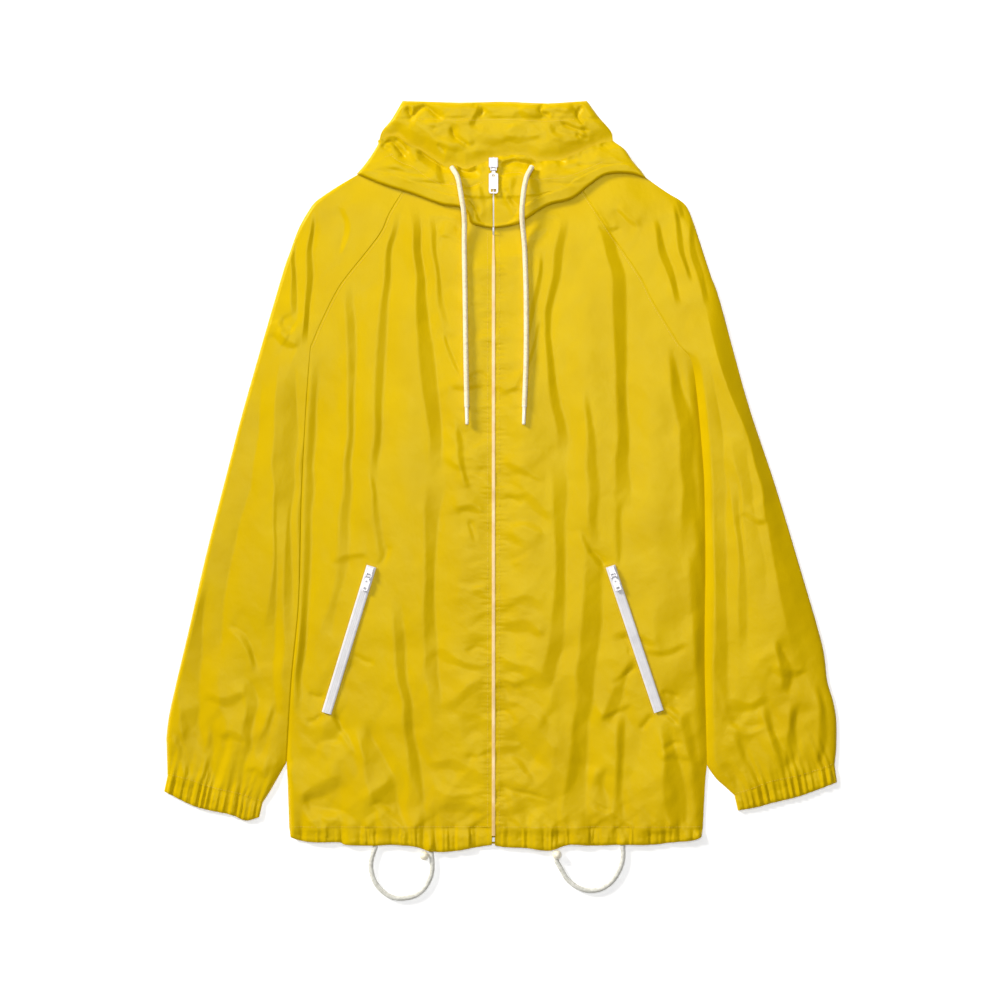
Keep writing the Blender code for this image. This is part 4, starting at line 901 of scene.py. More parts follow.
def new_material(name, **values):
    """A material, its node tree and its Principled shader with these constant values."""
    made = bpy.data.materials.new(name)
    made.use_nodes = True
    shader = made.node_tree.nodes["Principled BSDF"]
    for key, value in values.items():
        shader.inputs[key.replace("_", " ")].default_value = value
    return made, made.node_tree, shader


def place_in_metres(tree):
    """Object coordinates, which are metres in the jacket's own frame."""
    return add_node(tree, "TexCoord").outputs["Object"]


def noise_of(tree, where, millimetres, detail=3.0):
    """Noise whose grains have this size, as its value socket."""
    sockets = {"Vector": where, "Scale": 1 / (millimetres * MM), "Detail": detail}
    return add_node(tree, "TexNoise", sockets).outputs[0]


def blend_of(tree, amount, low, high):
    """A mix of two sRGB colours by an amount from 0 to 1."""
    sockets = {0: amount, 6: to_linear(low), 7: to_linear(high)}
    return add_node(tree, "Mix", sockets, data_type="RGBA").outputs[2]


def spread_of(tree, value, low, high):
    """A noise value, which stays near a half, spread between two numbers."""
    sockets = {"Value": value, "From Min": 0.3, "From Max": 0.7, "To Min": low, "To Max": high}
    return add_node(tree, "MapRange", sockets).outputs[0]


def bump_of(tree, height, millimetres, strength, normal=None):
    """A bump of that height, on top of another one if there is one."""
    sockets = {"Height": height, "Distance": millimetres * MM, "Strength": strength}
    if normal is not None:
        sockets["Normal"] = normal
    return add_node(tree, "Bump", sockets).outputs[0]


def weave_of(tree, where, millimetres):
    """A plain weave with threads of this width: warp and weft ribs, multiplied."""
    ribs = []
    for direction in ("X", "Y"):
        sockets = {"Vector": where, "Scale": math.pi / 10 / (millimetres * MM), "Distortion": 0.0}
        ribs.append(add_node(tree, "TexWave", sockets, bands_direction=direction).outputs[1])
    return add_node(tree, "Math", {0: ribs[0], 1: ribs[1]}, operation="MULTIPLY").outputs[0]


def nylon_taffeta():
    """Thin coated nylon: saturated yellow with a soft silky gloss, fine threads and tiny crinkles.

    Real threads are about 0.1 mm apart, too fine to show, so the weave is drawn at 0.4 mm.
    """
    made, tree, shader = new_material(
        "nylon_taffeta", IOR=1.3, Specular_Tint=to_linear("DCEB96"), Diffuse_Roughness=0.1
    )
    where = place_in_metres(tree)
    patchy = noise_of(tree, where, 55)
    yellow = blend_of(tree, spread_of(tree, patchy, 0, 1), "CAA800", "D0AF00")
    tree.links.new(yellow, shader.inputs["Base Color"])
    gloss = spread_of(tree, noise_of(tree, where, 18), 0.28, 0.36)
    tree.links.new(gloss, shader.inputs["Roughness"])
    crinkle = bump_of(tree, noise_of(tree, where, 7, 4.0), 0.5, 0.5)
    threads = bump_of(tree, weave_of(tree, where, 0.4), 0.05, 0.35, crinkle)
    tree.links.new(threads, shader.inputs["Normal"])
    return made


def sewing_thread():
    """Polyester thread in the cloth's yellow, a little lighter and duller, so that seams read as sewn."""
    made, tree, shader = new_material("polyester_thread", Roughness=0.55, Sheen_Weight=0.3)
    shade = spread_of(tree, noise_of(tree, place_in_metres(tree), 1.2), 0, 1)
    tree.links.new(blend_of(tree, shade, "D6B21C", "E6C743"), shader.inputs["Base Color"])
    return made


def zip_fabric():
    """White woven zip tape: cool white and matt, with fine ribs, drawn at 0.35 mm as real ones are finer."""
    made, tree, shader = new_material("woven_zip_tape", Roughness=0.72, Sheen_Weight=0.25)
    where = place_in_metres(tree)
    shade = spread_of(tree, noise_of(tree, where, 9), 0, 1)
    tree.links.new(blend_of(tree, shade, "D5D4D8", "DDDCDF"), shader.inputs["Base Color"])
    tree.links.new(bump_of(tree, weave_of(tree, where, 0.35), 0.08, 0.6), shader.inputs["Normal"])
    return made


def zip_coil():
    """Formed polyester coil: creamy and slightly see-through, with a small bright gloss on each turn."""
    made, tree, shader = new_material("polyester_coil", Roughness=0.34, IOR=1.52, Subsurface_Weight=0.1)
    shader.inputs["Subsurface Radius"].default_value = (0.0012, 0.001, 0.0008)
    shade = spread_of(tree, noise_of(tree, place_in_metres(tree), 14), 0, 1)
    tree.links.new(blend_of(tree, shade, "DDB770", "E8C98D"), shader.inputs["Base Color"])
    return made


def white_lacquer():
    """Lacquered zinc casting: smooth cool white paint with a clear gloss and faint handling marks."""
    made, tree, shader = new_material("white_lacquer", IOR=1.5, Coat_Weight=0.5, Coat_Roughness=0.12)
    where = place_in_metres(tree)
    marks = noise_of(tree, where, 2.5)
    white = blend_of(tree, spread_of(tree, marks, 0, 1), "D2D1D8", "DDDCE2")
    tree.links.new(white, shader.inputs["Base Color"])
    tree.links.new(spread_of(tree, noise_of(tree, where, 0.9), 0.22, 0.4), shader.inputs["Roughness"])
    tree.links.new(bump_of(tree, marks, 0.05, 0.25), shader.inputs["Normal"])
    return made


def braided_cord(name, light, dark):
    """Braided polyester: matt strands, with painted shade in the grooves between them, taken from the mesh's
    own strand relief and made patchy by noise.
    """
    made, tree, shader = new_material(name, Roughness=0.78, Sheen_Weight=0.35, Sheen_Roughness=0.5)
    strand = add_node(tree, "Attribute", attribute_name="strand").outputs["Fac"]
    where = place_in_metres(tree)
    # Painted shade: the dark colour goes where the strand relief is low, in the grooves between strands,
    # broken up by a random noise.
    painted_groove_shade_and_mottle = add_node(tree, "Math", {0: strand, 1: noise_of(tree, where, 3.0)}, operation="MULTIPLY").outputs[0]
    sockets = {"Value": painted_groove_shade_and_mottle, "From Min": 0.08, "From Max": 0.45, "To Min": 0.0, "To Max": 1.0}
    grooves = add_node(tree, "MapRange", sockets).outputs[0]
    tree.links.new(blend_of(tree, grooves, dark, light), shader.inputs["Base Color"])
    tree.links.new(bump_of(tree, noise_of(tree, where, 0.4), 0.08, 0.5), shader.inputs["Normal"])
    return made


def cord_plastic():
    """Injection-moulded tips and beads: creamy white and glossy, with faint flow marks."""
    made, tree, shader = new_material("moulded_plastic", IOR=1.5, Coat_Weight=0.3, Coat_Roughness=0.1)
    where = place_in_metres(tree)
    flow = noise_of(tree, where, 5)
    cream = blend_of(tree, spread_of(tree, flow, 0, 1), "EFE6CC", "F8F2DF")
    tree.links.new(cream, shader.inputs["Base Color"])
    tree.links.new(spread_of(tree, noise_of(tree, where, 1.5), 0.2, 0.34), shader.inputs["Roughness"])
    return made


def studio_floor():
    """Matt near-white paper under the jacket."""
    made, tree, shader = new_material(
        "studio_paper", Roughness=0.9, Emission_Color=to_linear("FFFFFF"), Emission_Strength=0.24
    )
    shade = spread_of(tree, noise_of(tree, place_in_metres(tree), 300), 0, 1)
    tree.links.new(blend_of(tree, shade, "FBFBFB", "FDFDFD"), shader.inputs["Base Color"])
    return made


NYLON = nylon_taffeta()
THREAD = sewing_thread()
TAPE_FABRIC = zip_fabric()
COIL = zip_coil()
LACQUER = white_lacquer()
# The second colour of each braid is the painted shade in the grooves between its strands.
HOOD_BRAID = braided_cord("hood_cord_braid", "F6EAC9", "CDBC92")
HEM_BRAID = braided_cord("hem_cord_braid", "E9E8E0", "B0AFA2")
PLASTIC = cord_plastic()
PAPER = studio_floor()


# --- cloth pieces --------------------------------------------------------------------------------

# By side: -1 is the wearer's right, at -X, and 1 the wearer's left.
RAGLAN = {-1: smooth(RAGLAN_LEFT, 60), 1: smooth(RAGLAN_RIGHT, 60)}
SIDES = {-1: smooth(SIDE_LEFT, 120), 1: smooth(SIDE_RIGHT, 120)}
FLANKS = {-1: smooth(FLANK_LEFT, 16), 1: smooth(FLANK_RIGHT, 16)}
FOLDS = {-1: RIGHT_FRONT_FOLDS + RIGHT_SLEEVE_FOLDS, 1: LEFT_FRONT_FOLDS + LEFT_SLEEVE_FOLDS}
WEARER = {-1: "right", 1: "left"}


def build_fronts():
    """The two front panels, between the zip, the neck, the raglan and side seams and the hem channel."""
    made = {}
    zip_side = ZIP_WIDTH / 2 + GAP
    for side, neck in ((-1, NECK_LEFT), (1, NECK_RIGHT)):
        outside = shift(join(RAGLAN[side], SIDES[side], FLANKS[side]), -side * SEWN)
        # Beside the zip, the edge runs in to the closed coil just below the neck.
        middle = np.array([(side * 0.55, 294.5), (side * zip_side, 250), (side * zip_side, HEM_SEAM)])
        left, right = (outside, middle) if side < 0 else (middle, outside)
        bottom = np.array([left[-1], right[-1]])
        across, down = cells(bottom, CELL), cells(outside, CELL)
        flat = patch(smooth(neck, 80), bottom, left, right, across, down)
        name = f"cloth_front_{WEARER[side]}"
        height = front_height(flat, FOLDS[side], FRONT_SIDE_ROLL[side])
        made[side] = cloth(name, flat, height, len(across) - 1)
        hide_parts(f"front_{WEARER[side]}")
    return made


def under_grid(left, right, top, bottom, down):
    """The under half of a tube: on the floor, with its side edges turned up to the upper half."""
    width = length_of(bottom)
    near_edge = np.array([0, 0.7, 2.0, 4.0]) / width
    middle = np.linspace(4.0 / width, 1 - 4.0 / width, round(width / UNDER_CELL) + 1)[1:-1]
    across = np.concatenate([near_edge, middle, 1 - near_edge[::-1]])
    flat = patch(top, bottom, left, right, across, down)
    to_edge = np.minimum(distance_to(flat, left), distance_to(flat, right))
    turned_up = (CLOSE - WALL) * 0.8 * (1 - rounded(to_edge, TURN_UP))
    return np.column_stack([flat, back_height(flat) + turned_up])


def build_sleeves():
    """The two raglan sleeves, each a tube laid flat from the neck to the wrist."""
    made = {}
    for side, neck, outer, inner, wrist in (
        (-1, NECK_SLEEVE_LEFT, OUTER_LEFT, INNER_LEFT, WRIST_LEFT),
        (1, NECK_SLEEVE_RIGHT, OUTER_RIGHT, INNER_RIGHT, WRIST_RIGHT),
    ):
        outer = smooth(outer, 260)
        inner = shift(join(RAGLAN[side], SIDES[side], smooth(inner, 20)), side * SEWN)
        left, right = (outer, inner) if side < 0 else (inner, outer)
        bottom = at(smooth(wrist, 60), np.linspace(0, 1, 61)) + (0, SEWN)
        top = smooth(neck, 40)
        left[0], right[0] = top[0], top[-1]
        left[-1], right[-1] = bottom[0], bottom[-1]
        across, down = cells(bottom, CELL / 1.4), cells(outer, CELL)
        flat = patch(top, bottom, left, right, across, down)
        upper = np.column_stack([flat, front_height(flat, FOLDS[side], SLEEVE_SIDE_ROLL[side])])
        under = under_grid(left, right, top, bottom, down)
        wearer = WEARER[side]
        made[side] = tube_of_cloth(f"cloth_sleeve_{wearer}", upper, under, down)
        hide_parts(f"sleeve_front_{wearer}", f"sleeve_back_{wearer}")
    return made


def build_back():
    """The back panel, flat on the floor under the fronts."""
    left = shift(join(RAGLAN[-1], SIDES[-1], FLANKS[-1]), SEAM + TUCK)
    right = shift(join(RAGLAN[1], SIDES[1], FLANKS[1]), -SEAM - TUCK)
    bottom = np.array([left[-1], right[-1]])
    across, down = cells(bottom, UNDER_CELL), cells(left, UNDER_CELL)
    flat = patch(smooth(NECK_BACK, 40) - (0, SEAM), bottom, left, right, across, down)
    made = cloth("cloth_back_panel", flat, back_height(flat), len(across) - 1, down=True)
    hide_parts("back_panel")
    return made


def level_along(line, piece, shares):
    """The top of a piece at these shares of a line over it."""
    support = ground(piece)
    return np.array([support(x, y) for x, y in at(line, shares)])


def meet(height, distance, level):
    """Heights that start at a neighbour's level and come into their own beyond the seam."""
    own = 1 - bell(distance, 6.0)
    return own * height + (1 - own) * level


def channel_height(points, share, rim, swell, wave, edge, seed):
    """The top of a ruched channel: swollen from its rim, with uneven gathers that fade at the rim."""
    rise = rounded(rim, 6.0)
    lift = CLOSE + 0.4 + swell * rise + wave * (0.35 + 0.65 * rise) * uneven_wave(share, edge, seed)
    return lift + crumple(points, 5, 0.35, seed) - 0.8 * wave * (1 - rise)


def build_cuffs(sleeves):
    """Gathered elastic cuffs, each a short tube."""
    made = {}
    for side, wrist, edge, seed in ((-1, WRIST_LEFT, CUFF_LEFT, 0.1), (1, WRIST_RIGHT, CUFF_RIGHT, 0.6)):
        top = smooth(wrist, 60) - (0, SEWN)
        bottom = smooth(edge, 60)
        left, right = np.array([top[0], bottom[0]]), np.array([top[-1], bottom[-1]])
        across, down = cells(top, CHANNEL_CELL), np.linspace(0, 1, 19)
        flat = patch(top, bottom, left, right, across, down)
        share = np.tile(across, len(down))
        ends = np.minimum(distance_to(flat, left), distance_to(flat, right))
        # The opening's rim stays a little open, so it counts as already partly rounded.
        rim = np.minimum(ends, distance_to(flat, bottom) + 1.2)
        height = channel_height(flat, share, rim, 3.4, CUFF_WAVE, CUFF_GATHERS, seed)
        level = np.tile(level_along(top + (0, 0.8), sleeves[side], across), len(down))
        height = np.where(level > 0, meet(height, distance_to(flat, top), level), height)
        upper = np.column_stack([flat, np.maximum(height, CLOSE - 0.4)])
        turned_up = 0.9 * (1 - rounded(ends, TURN_UP))
        puff = 0.35 * (1 + np.cos(2 * math.pi * CUFF_GATHERS * share))
        under = np.column_stack([flat, FLOOR_GAP + np.maximum(turned_up, puff * np.clip(ends / 8, 0, 1))])
        wearer = WEARER[side]
        made[side] = tube_of_cloth(f"cloth_cuff_{wearer}", upper, under, down)
        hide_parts(f"cuff_front_{wearer}", f"cuff_back_{wearer}")
    return made


def cord_mouths(points):
    """The cloth lifted where the ends of the hem's cord run into the channel."""
    total = np.zeros(len(points))
    for x in HEM_MOUTHS_LEFT + HEM_MOUTHS_RIGHT:
        total += 2.6 * bell(points[:, 0] - x, 5.5) * bell(points[:, 1] - MOUTH_Y, 9)
    return total


def build_hem(fronts):
    """The hem's cord channel: two ruched upper pieces and a flat under piece."""
    made = {}
    zip_side = ZIP_WIDTH / 2 + GAP
    seam = HEM_SEAM - 2 * SEWN
    for side, edge, seed in ((-1, HEM_LEFT, 0.25), (1, HEM_RIGHT, 0.8)):
        outside = (FLANKS[side][-1][0], seam)
        middle = (side * zip_side, seam)
        top = np.array([outside, middle] if side < 0 else [middle, outside])
        bottom = smooth(edge, 80)
        across, down = cells(top, CHANNEL_CELL), np.linspace(0, 1, 19)
        left, right = np.array([top[0], bottom[0]]), np.array([top[-1], bottom[-1]])
        flat = patch(top, bottom, left, right, across, down)
        share = np.tile(across, len(down))
        rim = np.minimum(distance_to(flat, bottom) + 0.6, np.abs(flat[:, 0] - outside[0]) + 0.4)
        height = channel_height(flat, share, rim, 3.1, HEM_WAVE, HEM_GATHERS, seed) + cord_mouths(flat)
        height += bunches(flat[:, 0], np.zeros(len(flat)), 1.9)
        level = np.tile(level_along(top + (0, 0.5), fronts[side], across), len(down))
        height = meet(height, seam - flat[:, 1], level)
        name = f"cloth_hem_{WEARER[side]}"
        made[side] = cloth(name, flat, np.maximum(height, CLOSE - 0.2), len(across) - 1)
        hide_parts(f"hem_front_{WEARER[side]}")
    edge = smooth(HEM_LEFT + HEM_RIGHT, 160) + (0, TUCK)
    top = np.array([(FLANKS[-1][-1][0] + TUCK, seam), (FLANKS[1][-1][0] - TUCK, seam)])
    across, down = cells(top, 2.4), np.linspace(0, 1, 9)
    flat = patch(top, edge, np.array([top[0], edge[0]]), np.array([top[-1], edge[-1]]), across, down)
    ripple = 0.25 * (1 + np.cos(2 * math.pi * 2 * HEM_GATHERS * np.tile(across, len(down))))
    made[0] = cloth("cloth_hem_back", flat, FLOOR_GAP + ripple, len(across) - 1, down=True)
    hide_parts("hem_back")
    return made


def build_hood_middle():
    """The hood's middle panel, from the crown's cord channel to the back neck seam."""
    left, right = smooth(TEMPLE_LEFT, 60), smooth(TEMPLE_RIGHT, 60)
    bottom = smooth(HOOD_NECK, 80) + (0, SEAM)
    left[-1], right[-1] = bottom[0], bottom[-1]
    across, down = cells(bottom, HOOD_CELL), cells(left, HOOD_CELL)
    flat = patch(smooth(CROWN, 60), bottom, left, right, across, down)
    made = cloth("cloth_hood_middle", flat, hood_height(flat), len(across) - 1)
    made.modifiers["wall"].thickness = (UNDER - FLOOR_GAP) * MM
    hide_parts("hood_back")
    return made


def build_wings(below):
    """The hood's two side wings, which fold down over the fronts and sleeves and meet at the zip."""
    support = ground(*below)
    made = {}
    middle_x = ZIP_CLOSED_WIDTH / 2 + GAP
    for side, face, side_line, fold in (
        (-1, FACE_LEFT, WING_SIDE_LEFT, WING_FOLD_LEFT),
        (1, FACE_RIGHT, WING_SIDE_RIGHT, WING_FOLD_RIGHT),
    ):
        at_chin = face[-1] if side < 0 else face[0]
        middle = np.array([(side * middle_x, at_chin[1]), (side * middle_x, 297)])
        outside = smooth(side_line, 40)
        left, right = (outside, middle) if side < 0 else (middle, outside)
        face, fold = smooth(face, 120), smooth(fold, 120)
        across, down = cells(face, HOOD_CELL), cells(middle, HOOD_CELL)
        flat = patch(face, fold, left, right, across, down)
        lowest = np.array([support(x, y, 5.0) for x, y in flat]) + WALL + GAP
        height = wing_height(flat, lowest, face, fold, outside)
        name = f"cloth_hood_{WEARER[side]}"
        made[side] = cloth(name, flat, height, len(across) - 1)
        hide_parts(f"hood_{WEARER[side]}")
    return made


# --- sewing --------------------------------------------------------------------------------------


def stitches(name, lines, support):
    """Rows of short stitches along lines, each a slim spindle lying on the cloth."""
    ring = [(math.cos(a), math.sin(a)) for a in np.radians([0, 72, 144, 216, 288])]
    template = [(-0.5, 0, 0)] + [(t, c, s) for t in (-0.28, 0.28) for c, s in ring] + [(0.5, 0, 0)]
    quads = [(1 + i, 1 + (i + 1) % 5, 6 + (i + 1) % 5, 6 + i) for i in range(5)]
    caps = [(0, 1 + (i + 1) % 5, 1 + i) for i in range(5)] + [(11, 6 + i, 6 + (i + 1) % 5) for i in range(5)]
    points, faces = [], []
    for line in lines:
        count = max(1, round(length_of(line) / STITCH_PITCH))
        starts = at(line, (np.arange(count) + 0.12) / count)
        stops = at(line, (np.arange(count) + 0.12 + STITCH_LENGTH / STITCH_PITCH) / count)
        for start, stop in zip(starts, stops):
            a = Vector((*start, support(*start) + STITCH_ABOVE))
            b = Vector((*stop, support(*stop) + STITCH_ABOVE))
            along = b - a
            sideways = along.cross(Vector((0, 0, 1))).normalized() * STITCH_RADIUS
            upwards = sideways.cross(along).normalized() * STITCH_RADIUS
            base = len(points)
            points += [tuple((a + b) / 2 + t * along + c * sideways + s * upwards) for t, c, s in template]
            faces += [tuple(base + i for i in face) for face in quads + caps]
    return add_piece(name, mesh_of(name, points, faces), THREAD)


def around_strip(axis, width):
    """The outline of a strip along an axis, as one closed line."""
    start, stop = np.array(axis, float)
    along = (stop - start) / np.linalg.norm(stop - start)
    across = np.array([-along[1], along[0]]) * width / 2
    over = along * 2.2
    corners = [start - over + across, stop + over + across, stop + over - across, start - over - across]
    return np.array([*corners, corners[0]])


def sew(fronts, sleeves, middle, wings):
    """The topstitching on each front, above each cuff, on each wing and below the crown."""
    made = {}
    for side, pocket in ((-1, POCKET_LEFT), (1, POCKET_RIGHT)):
        beside_zip = np.array([(side * ZIP_STITCH_AT, 292), (side * ZIP_STITCH_AT, HEM_SEAM + 2)])
        raglan = shift(RAGLAN[side], -side * SEAM_STITCH_AT)
        hem = np.array([(side * 4, HEM_SEAM + 1.8), (FLANKS[side][-1][0] - side * 3, HEM_SEAM + 1.8)])
        lines = [beside_zip, raglan, hem, around_strip(pocket, TAPE_WIDTH + 5)]
        made[side] = stitches(f"stitching_front_{WEARER[side]}", lines, ground(fronts[side]))
        wrist = smooth(WRIST_LEFT if side < 0 else WRIST_RIGHT, 40) + (0, SEAM_STITCH_AT)
        made[side, "cuff"] = stitches(f"stitching_cuff_{WEARER[side]}", [wrist], ground(sleeves[side]))
        face = FACE_LEFT if side < 0 else FACE_RIGHT
        casing = shift(smooth(face, 80), -CASING)
        inside = casing[(np.abs(casing[:, 0]) > 9) & (np.abs(casing[:, 0]) < 132)]
        made[side, "hood"] = stitches(f"stitching_hood_{WEARER[side]}", [inside], ground(wings[side]))
    crown = smooth(CROWN, 60)[4:-4] - (0, CASING)
    made["crown"] = stitches("stitching_crown", [crown], ground(middle))
    return made


# --- zips ----------------------------------------------------------------------------------------


def strip(name, centre, heights, half_width, profile, wall, material):
    """A strip along a line with a raised profile: (share of the half width, height) from side to side."""
    along = np.gradient(centre, axis=0)
    along /= np.linalg.norm(along, axis=1)[:, None]
    across = np.stack([-along[:, 1], along[:, 0]], axis=1)
    half = np.broadcast_to(half_width, len(centre))[:, None]
    columns = []
    for share, lift in profile:
        flat = centre - share * half * across
        columns.append(np.column_stack([flat, heights + lift]))
    points = np.stack(columns, axis=1).reshape(-1, 3)
    faces = grid_faces(len(centre) - 1, len(profile) - 1)
    return thicken(add_piece(name, mesh_of(name, points, faces), material), wall)


def coil_teeth(name, centre, heights, reach, pitch):
    """The coil of a zip: rounded turns from both sides, interlocked along the middle."""
    ball = bmesh.new()
    bmesh.ops.create_icosphere(ball, subdivisions=1, radius=1.0)
    shape = np.array([v.co for v in ball.verts])
    triangles = [tuple(v.index for v in f.verts) for f in ball.faces]
    ball.free()
    line = np.column_stack([centre, heights])
    count = int(length_of(line) / (pitch / 2))
    spots = at(line, np.linspace(0, 1, count + 1))
    points, faces = [], []
    for i, (x, y, z) in enumerate(spots):
        side = 1 if i % 2 else -1
        size = np.array([reach * 0.62, pitch * 0.36, 0.55])
        base = len(points)
        points += (shape * size + (x + side * reach * 0.36, y, z)).tolist()
        faces += [tuple(base + k for k in t) for t in triangles]
    return add_piece(name, mesh_of(name, points, faces), COIL)


def build_front_zip(fronts, wings, hems):
    """The strip between the fronts with its coil, and the narrow line where it closes between the wings."""
    low_ground, high_ground = ground(*fronts.values(), *hems.values()), ground(*wings.values())
    y = np.arange(ZIP_OPENS - 4, ZIP_BOTTOM + STOP_LENGTH + GAP, -2.0)
    # Just below the higher of the two front edges, evened out along the zip.
    level = np.array([max(low_ground(-3.2, v), low_ground(3.2, v)) for v in y]) - 0.35
    level = np.convolve(np.pad(level, 4, mode="edge"), np.ones(9) / 9, mode="valid")
    centre = np.column_stack([np.zeros(len(y)), y])
    profile = ((-1, -0.1), (-0.75, 0.0), (0.75, 0.0), (1, -0.1))
    half = np.interp(y, (250, 290), (ZIP_WIDTH / 2 + 0.26, 0.5))
    open_part = strip("zip_strip", centre, level, half, profile, 1.0, COIL)
    y_top = np.arange(ZIP_TOP, ZIP_OPENS - 6, -3.0)
    # Sunk between the wings, and down to the open part at its end.
    high = np.array([max(high_ground(-1.6, v), high_ground(1.6, v)) for v in y_top])
    high = np.where(high > 0, high, high.max()) - 1.4
    high[-3:] = np.linspace(high[-3], level[0], 3)
    top_line = np.column_stack([np.zeros(len(y_top)), y_top])
    closed_part = strip("zip_strip_hood", top_line, high, ZIP_CLOSED_WIDTH / 2, profile, 0.9, TAPE_FABRIC)
    below = y < 262
    coil_teeth("zip_teeth", centre[below], level[below] + 0.1, ZIP_WIDTH / 2 - 0.35, TEETH_PITCH)
    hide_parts("zip_front")
    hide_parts("zip_front")


def build_pocket_zip(side, axis, front):
    """A pocket's white zip: two tape edges with a shallow channel, and the coil seen from its back."""
    centre = at(axis, np.linspace(0, 1, 320))
    support = ground(front)
    local = np.array([support(x, y, TAPE_WIDTH / 2) for x, y in centre])
    # Evened out along the tape, but clear of the cloth everywhere.
    wide = np.pad(local, 12, mode="edge")
    level = np.convolve(wide, np.ones(25) / 25, mode="valid")
    level = np.maximum(level, local - 0.3) + TAPE_WALL + 0.2
    ribs = 0.05 * np.sin(2 * math.pi * np.arange(len(centre)) * length_of(centre) / len(centre) / TEETH_PITCH)
    name = f"pocket_zip_{WEARER[side]}"
    profile = ((-1, -0.5), (-0.92, -0.05), (-0.45, 0.0), (-0.4, -0.05), (-0.34, 0.04), (-0.06, 0.08), (0, 0))
    profile += tuple((-share, lift) for share, lift in profile[-2::-1])
    tape = strip(name, centre, level, TAPE_WIDTH / 2, profile, TAPE_WALL, TAPE_FABRIC)
    columns = len(profile)
    ridge = [i for i, (share, _) in enumerate(profile) if 0.05 < abs(share) < 0.4]
    for row, lift in enumerate(ribs):
        for column in ridge:
            tape.data.vertices[row * columns + column].co.z += lift * MM
    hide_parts(f"pocket_{WEARER[side]}_zip")
    return tape


def finish_hardware():
    """White lacquer on the sliders, pulls and bottom stop, which keep their own shapes."""
    for name, node in NODES.items():
        if name.endswith(("_slider", "_pull", "_stop")):
            node.data.materials.clear()
            node.data.materials.append(LACQUER)


# --- cords ---------------------------------------------------------------------------------------


def frame_along(line):
    """The sideways and the upward direction at each point of a line."""
    tangent = np.gradient(line, axis=0)
    tangent /= np.linalg.norm(tangent, axis=1)[:, None]
    sideways = np.cross(tangent, (0, 0, 1))
    sideways /= np.linalg.norm(sideways, axis=1)[:, None]
    return sideways, np.cross(sideways, tangent)


def braid(name, line, diameter, material):
    """A braided cord: a tube whose two sets of strands cross over and under each other."""
    count = round(length_of(line) / BRAID_STEP)
    line = at(line, np.linspace(0, 1, count + 1))
    sideways, upwards = frame_along(line)
    turn = 2 * math.pi * np.arange(BRAID_SIDES) / BRAID_SIDES
    along = np.arange(count + 1)[:, None] * length_of(line) / count
    twist = 2 * math.pi * along / BRAID_PITCH
    half = BRAID_STRANDS / 2
    over = np.abs(np.sin(half * (turn + twist))) * np.abs(np.sin(half * (turn - twist)))
    relief = np.sqrt(over)
    radius = diameter / 2 - BRAID_RELIEF + 1.3 * BRAID_RELIEF * relief
    points = line[:, None] + radius[..., None] * (
        np.cos(turn)[None, :, None] * sideways[:, None] + np.sin(turn)[None, :, None] * upwards[:, None]
    )
    mesh = mesh_of(name, points.reshape(-1, 3), capped_tube(count, BRAID_SIDES))
    # The strands' relief, which the cord's material also uses to paint shade into the grooves between
    # strands.
    values = mesh.attributes.new("strand", "FLOAT", "POINT")
    values.data.foreach_set("value", relief.ravel())
    return add_piece(name, mesh, material), line


def turned(name, start, stop, profile, material, sides=24):
    """A turned piece between two points: (share of the way, radius) rows, closed at both ends."""
    start, stop = np.asarray(start, float), np.asarray(stop, float)
    line = start + np.linspace(0, 1, 3)[:, None] * (stop - start)
    sideways, upwards = (direction[0] for direction in frame_along(line))
    turn = 2 * math.pi * np.arange(sides) / sides
    around = np.cos(turn)[:, None] * sideways + np.sin(turn)[:, None] * upwards
    points = np.concatenate([start + share * (stop - start) + radius * around for share, radius in profile])
    return add_piece(name, mesh_of(name, points, capped_tube(len(profile) - 1, sides)), material)


def cord_over(route, support):
    """A cord's centreline over what it lies on: clear of it everywhere, with no sharp step."""
    flat = smooth(route, round(length_of(smooth(route, 60)) / CORD_STEP))
    rest = np.array([support(x, y, CORD / 2 + 1) for x, y in flat])
    padded = np.pad(rest, 1, mode="edge")
    highest = np.maximum(rest, np.maximum(padded[:-2], padded[2:]))
    padded = np.pad(highest, 1, mode="edge")
    level = (padded[:-2] + 2 * highest + padded[2:]) / 4
    height = np.maximum(level, rest) + CORD / 2 + GAP
    height[:2] -= CORD_DIVE
    return np.column_stack([flat, height])


def build_hood_cords():
    """The two ends of the hood's drawcord, from the face edge down over the fronts, with their tips."""
    support = ground(*(NODES[name] for name in ("front_left", "front_right", "hood_left", "hood_right")))
    for wearer, route in (("right", HOOD_CORD_LEFT), ("left", HOOD_CORD_RIGHT)):
        line = smooth(cord_over(route, support), 120)
        piece, line = braid(f"braid_hood_{wearer}", line, CORD, HOOD_BRAID)
        way = line[-1] - line[-4]
        way /= np.linalg.norm(way)
        start = line[-1] - way * 0.4
        stop = start + way * TIP_LENGTH
        profile = [(share, thickness / 2 + more) for share, thickness, more in TIP_PROFILE]
        tip = turned(f"tip_{wearer}", start, stop, profile, PLASTIC)
        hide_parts(f"hood_cord_{wearer}")
        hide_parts(f"cord_tip_{wearer}")


def bead(name, centre):
    """A bead with a flat-rimmed hole along Y."""
    radius = BEAD / 2
    rim = math.asin(BEAD_HOLE / radius)
    lean = np.linspace(rim, math.pi - rim, 17)
    reach = radius * math.cos(lean[0])
    ball = [(0.5 - math.cos(a) * radius / (2 * reach), radius * math.sin(a)) for a in lean]
    mouth, floor = BEAD_HOLE - 0.15, BEAD_HOLE - 0.3
    profile = [(0.08, floor), (0.0, mouth), *ball, (1.0, mouth), (0.92, floor)]
    start, stop = centre + np.array([0, reach, 0]), centre - np.array([0, reach, 0])
    return turned(name, start, stop, profile, PLASTIC, 32)


def node_centre(name):
    """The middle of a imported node's box, in millimetres."""
    low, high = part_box(name)
    return (np.array(low) + np.array(high)) / 2 / MM


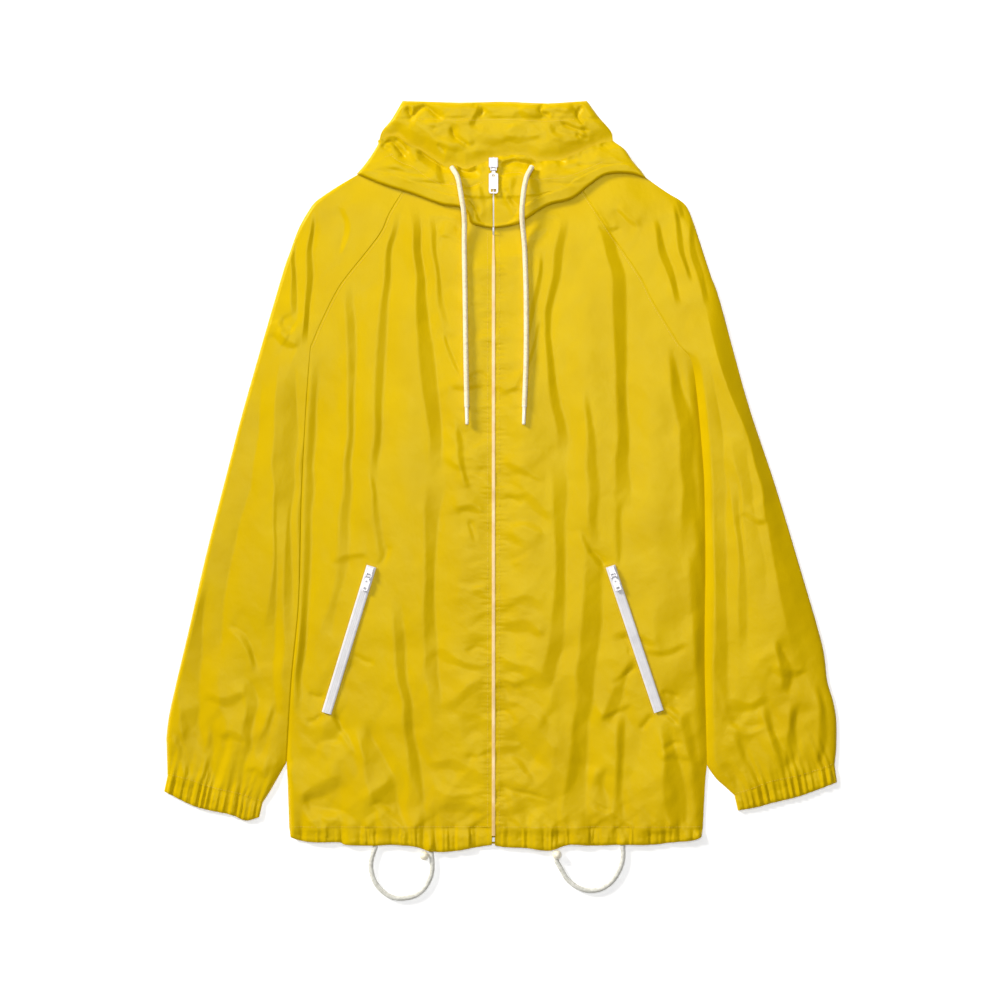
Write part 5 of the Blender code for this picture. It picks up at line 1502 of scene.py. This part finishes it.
def build_hem_loops():
    """The loops of the hem's drawcord, lying on the floor, with their beads."""
    edge = np.vstack([smooth(HEM_LEFT, 60), smooth(HEM_RIGHT, 60)])
    for wearer, middle, ends, bead_x in (
        ("right", HEM_LOOP_LEFT, HEM_MOUTHS_LEFT, BEAD_LEFT_X),
        ("left", HEM_LOOP_RIGHT, HEM_MOUTHS_RIGHT, BEAD_RIGHT_X),
    ):
        at_bead = node_centre(f"hem_bead_{wearer}")
        tops = []
        for x in ends:
            own = edge[np.abs(edge[:, 0] - x) <= 4][:, 1].min() - GAP
            tops.append(at_bead[1] - BEAD / 2 - GAP if abs(x - bead_x) < 1 else own)
        start, finish = zip(ends, tops)
        route = [start, (start[0], start[1] - 3.0), *middle, (finish[0], finish[1] - 3.0), finish]
        flat = smooth(route, 160)
        line = np.column_stack([flat, np.full(len(flat), CORD / 2 + 0.1)])
        piece, line = braid(f"braid_hem_{wearer}", line, CORD, HEM_BRAID)
        ball = bead(f"bead_{wearer}", at_bead)
        if wearer == "left":
            line = line[::-1]
        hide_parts(f"hem_loop_{wearer}")
        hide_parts(f"hem_bead_{wearer}")


# --- studio --------------------------------------------------------------------------------------


def build_camera():
    """The camera, straight above the photograph's middle."""
    data = bpy.data.cameras.new("camera")
    data.lens = LENS
    data.sensor_width = SENSOR
    data.clip_end = 20
    camera = bpy.data.objects.new("camera", data)
    camera.location = (VIEW_CENTRE[0] * MM, VIEW_CENTRE[1] * MM, VIEW_WIDTH * LENS / SENSOR * MM)
    bpy.context.scene.collection.objects.link(camera)
    bpy.context.scene.camera = camera


def add_light(name, place, size, power, colour):
    """A soft light of this (width, length), aimed at the jacket's middle."""
    data = bpy.data.lights.new(name, "AREA")
    data.shape = "RECTANGLE"
    data.size, data.size_y = size
    data.energy = power
    data.color = to_linear(colour)[:3]
    light = bpy.data.objects.new(name, data)
    light.location = place
    light.visible_camera = False
    light.rotation_euler = (-Vector(place)).to_track_quat("-Z", "Y").to_euler()
    bpy.context.scene.collection.objects.link(light)


def build_studio():
    """A pale floor, a large key from the upper left, three weak lights from above and an even sky."""
    work = bmesh.new()
    bmesh.ops.create_grid(work, x_segments=1, y_segments=1, size=FLOOR_HALF)
    mesh = bpy.data.meshes.new("studio_floor")
    work.to_mesh(mesh)
    work.free()
    mesh.materials.append(PAPER)
    floor = bpy.data.objects.new("studio_floor", mesh)
    bpy.context.scene.collection.objects.link(floor)
    for row in LIGHTS:
        add_light(*row)
    world = bpy.data.worlds.new("studio")
    world.use_nodes = True
    sky = world.node_tree.nodes["Background"]
    sky.inputs["Color"].default_value = to_linear("FFFFFF")
    sky.inputs["Strength"].default_value = SKY
    bpy.context.scene.world = world
    bpy.context.scene.view_settings.view_transform = "Standard"


# --- the jacket ----------------------------------------------------------------------------------


def build_jacket():
    """Cords first, then cloth, sewing and zips."""
    build_hood_cords()
    back = build_back()
    fronts = build_fronts()
    sleeves = build_sleeves()
    cuffs = build_cuffs(sleeves)
    hems = build_hem(fronts)
    middle = build_hood_middle()
    wings = build_wings([*fronts.values(), *sleeves.values(), middle])
    build_hem_loops()
    build_front_zip(fronts, wings, hems)
    sewing = sew(fronts, sleeves, middle, wings)
    for side, pocket in ((-1, POCKET_LEFT), (1, POCKET_RIGHT)):
        tape = build_pocket_zip(side, pocket, fronts[side])
    finish_hardware()


build_camera()
build_studio()
build_jacket()
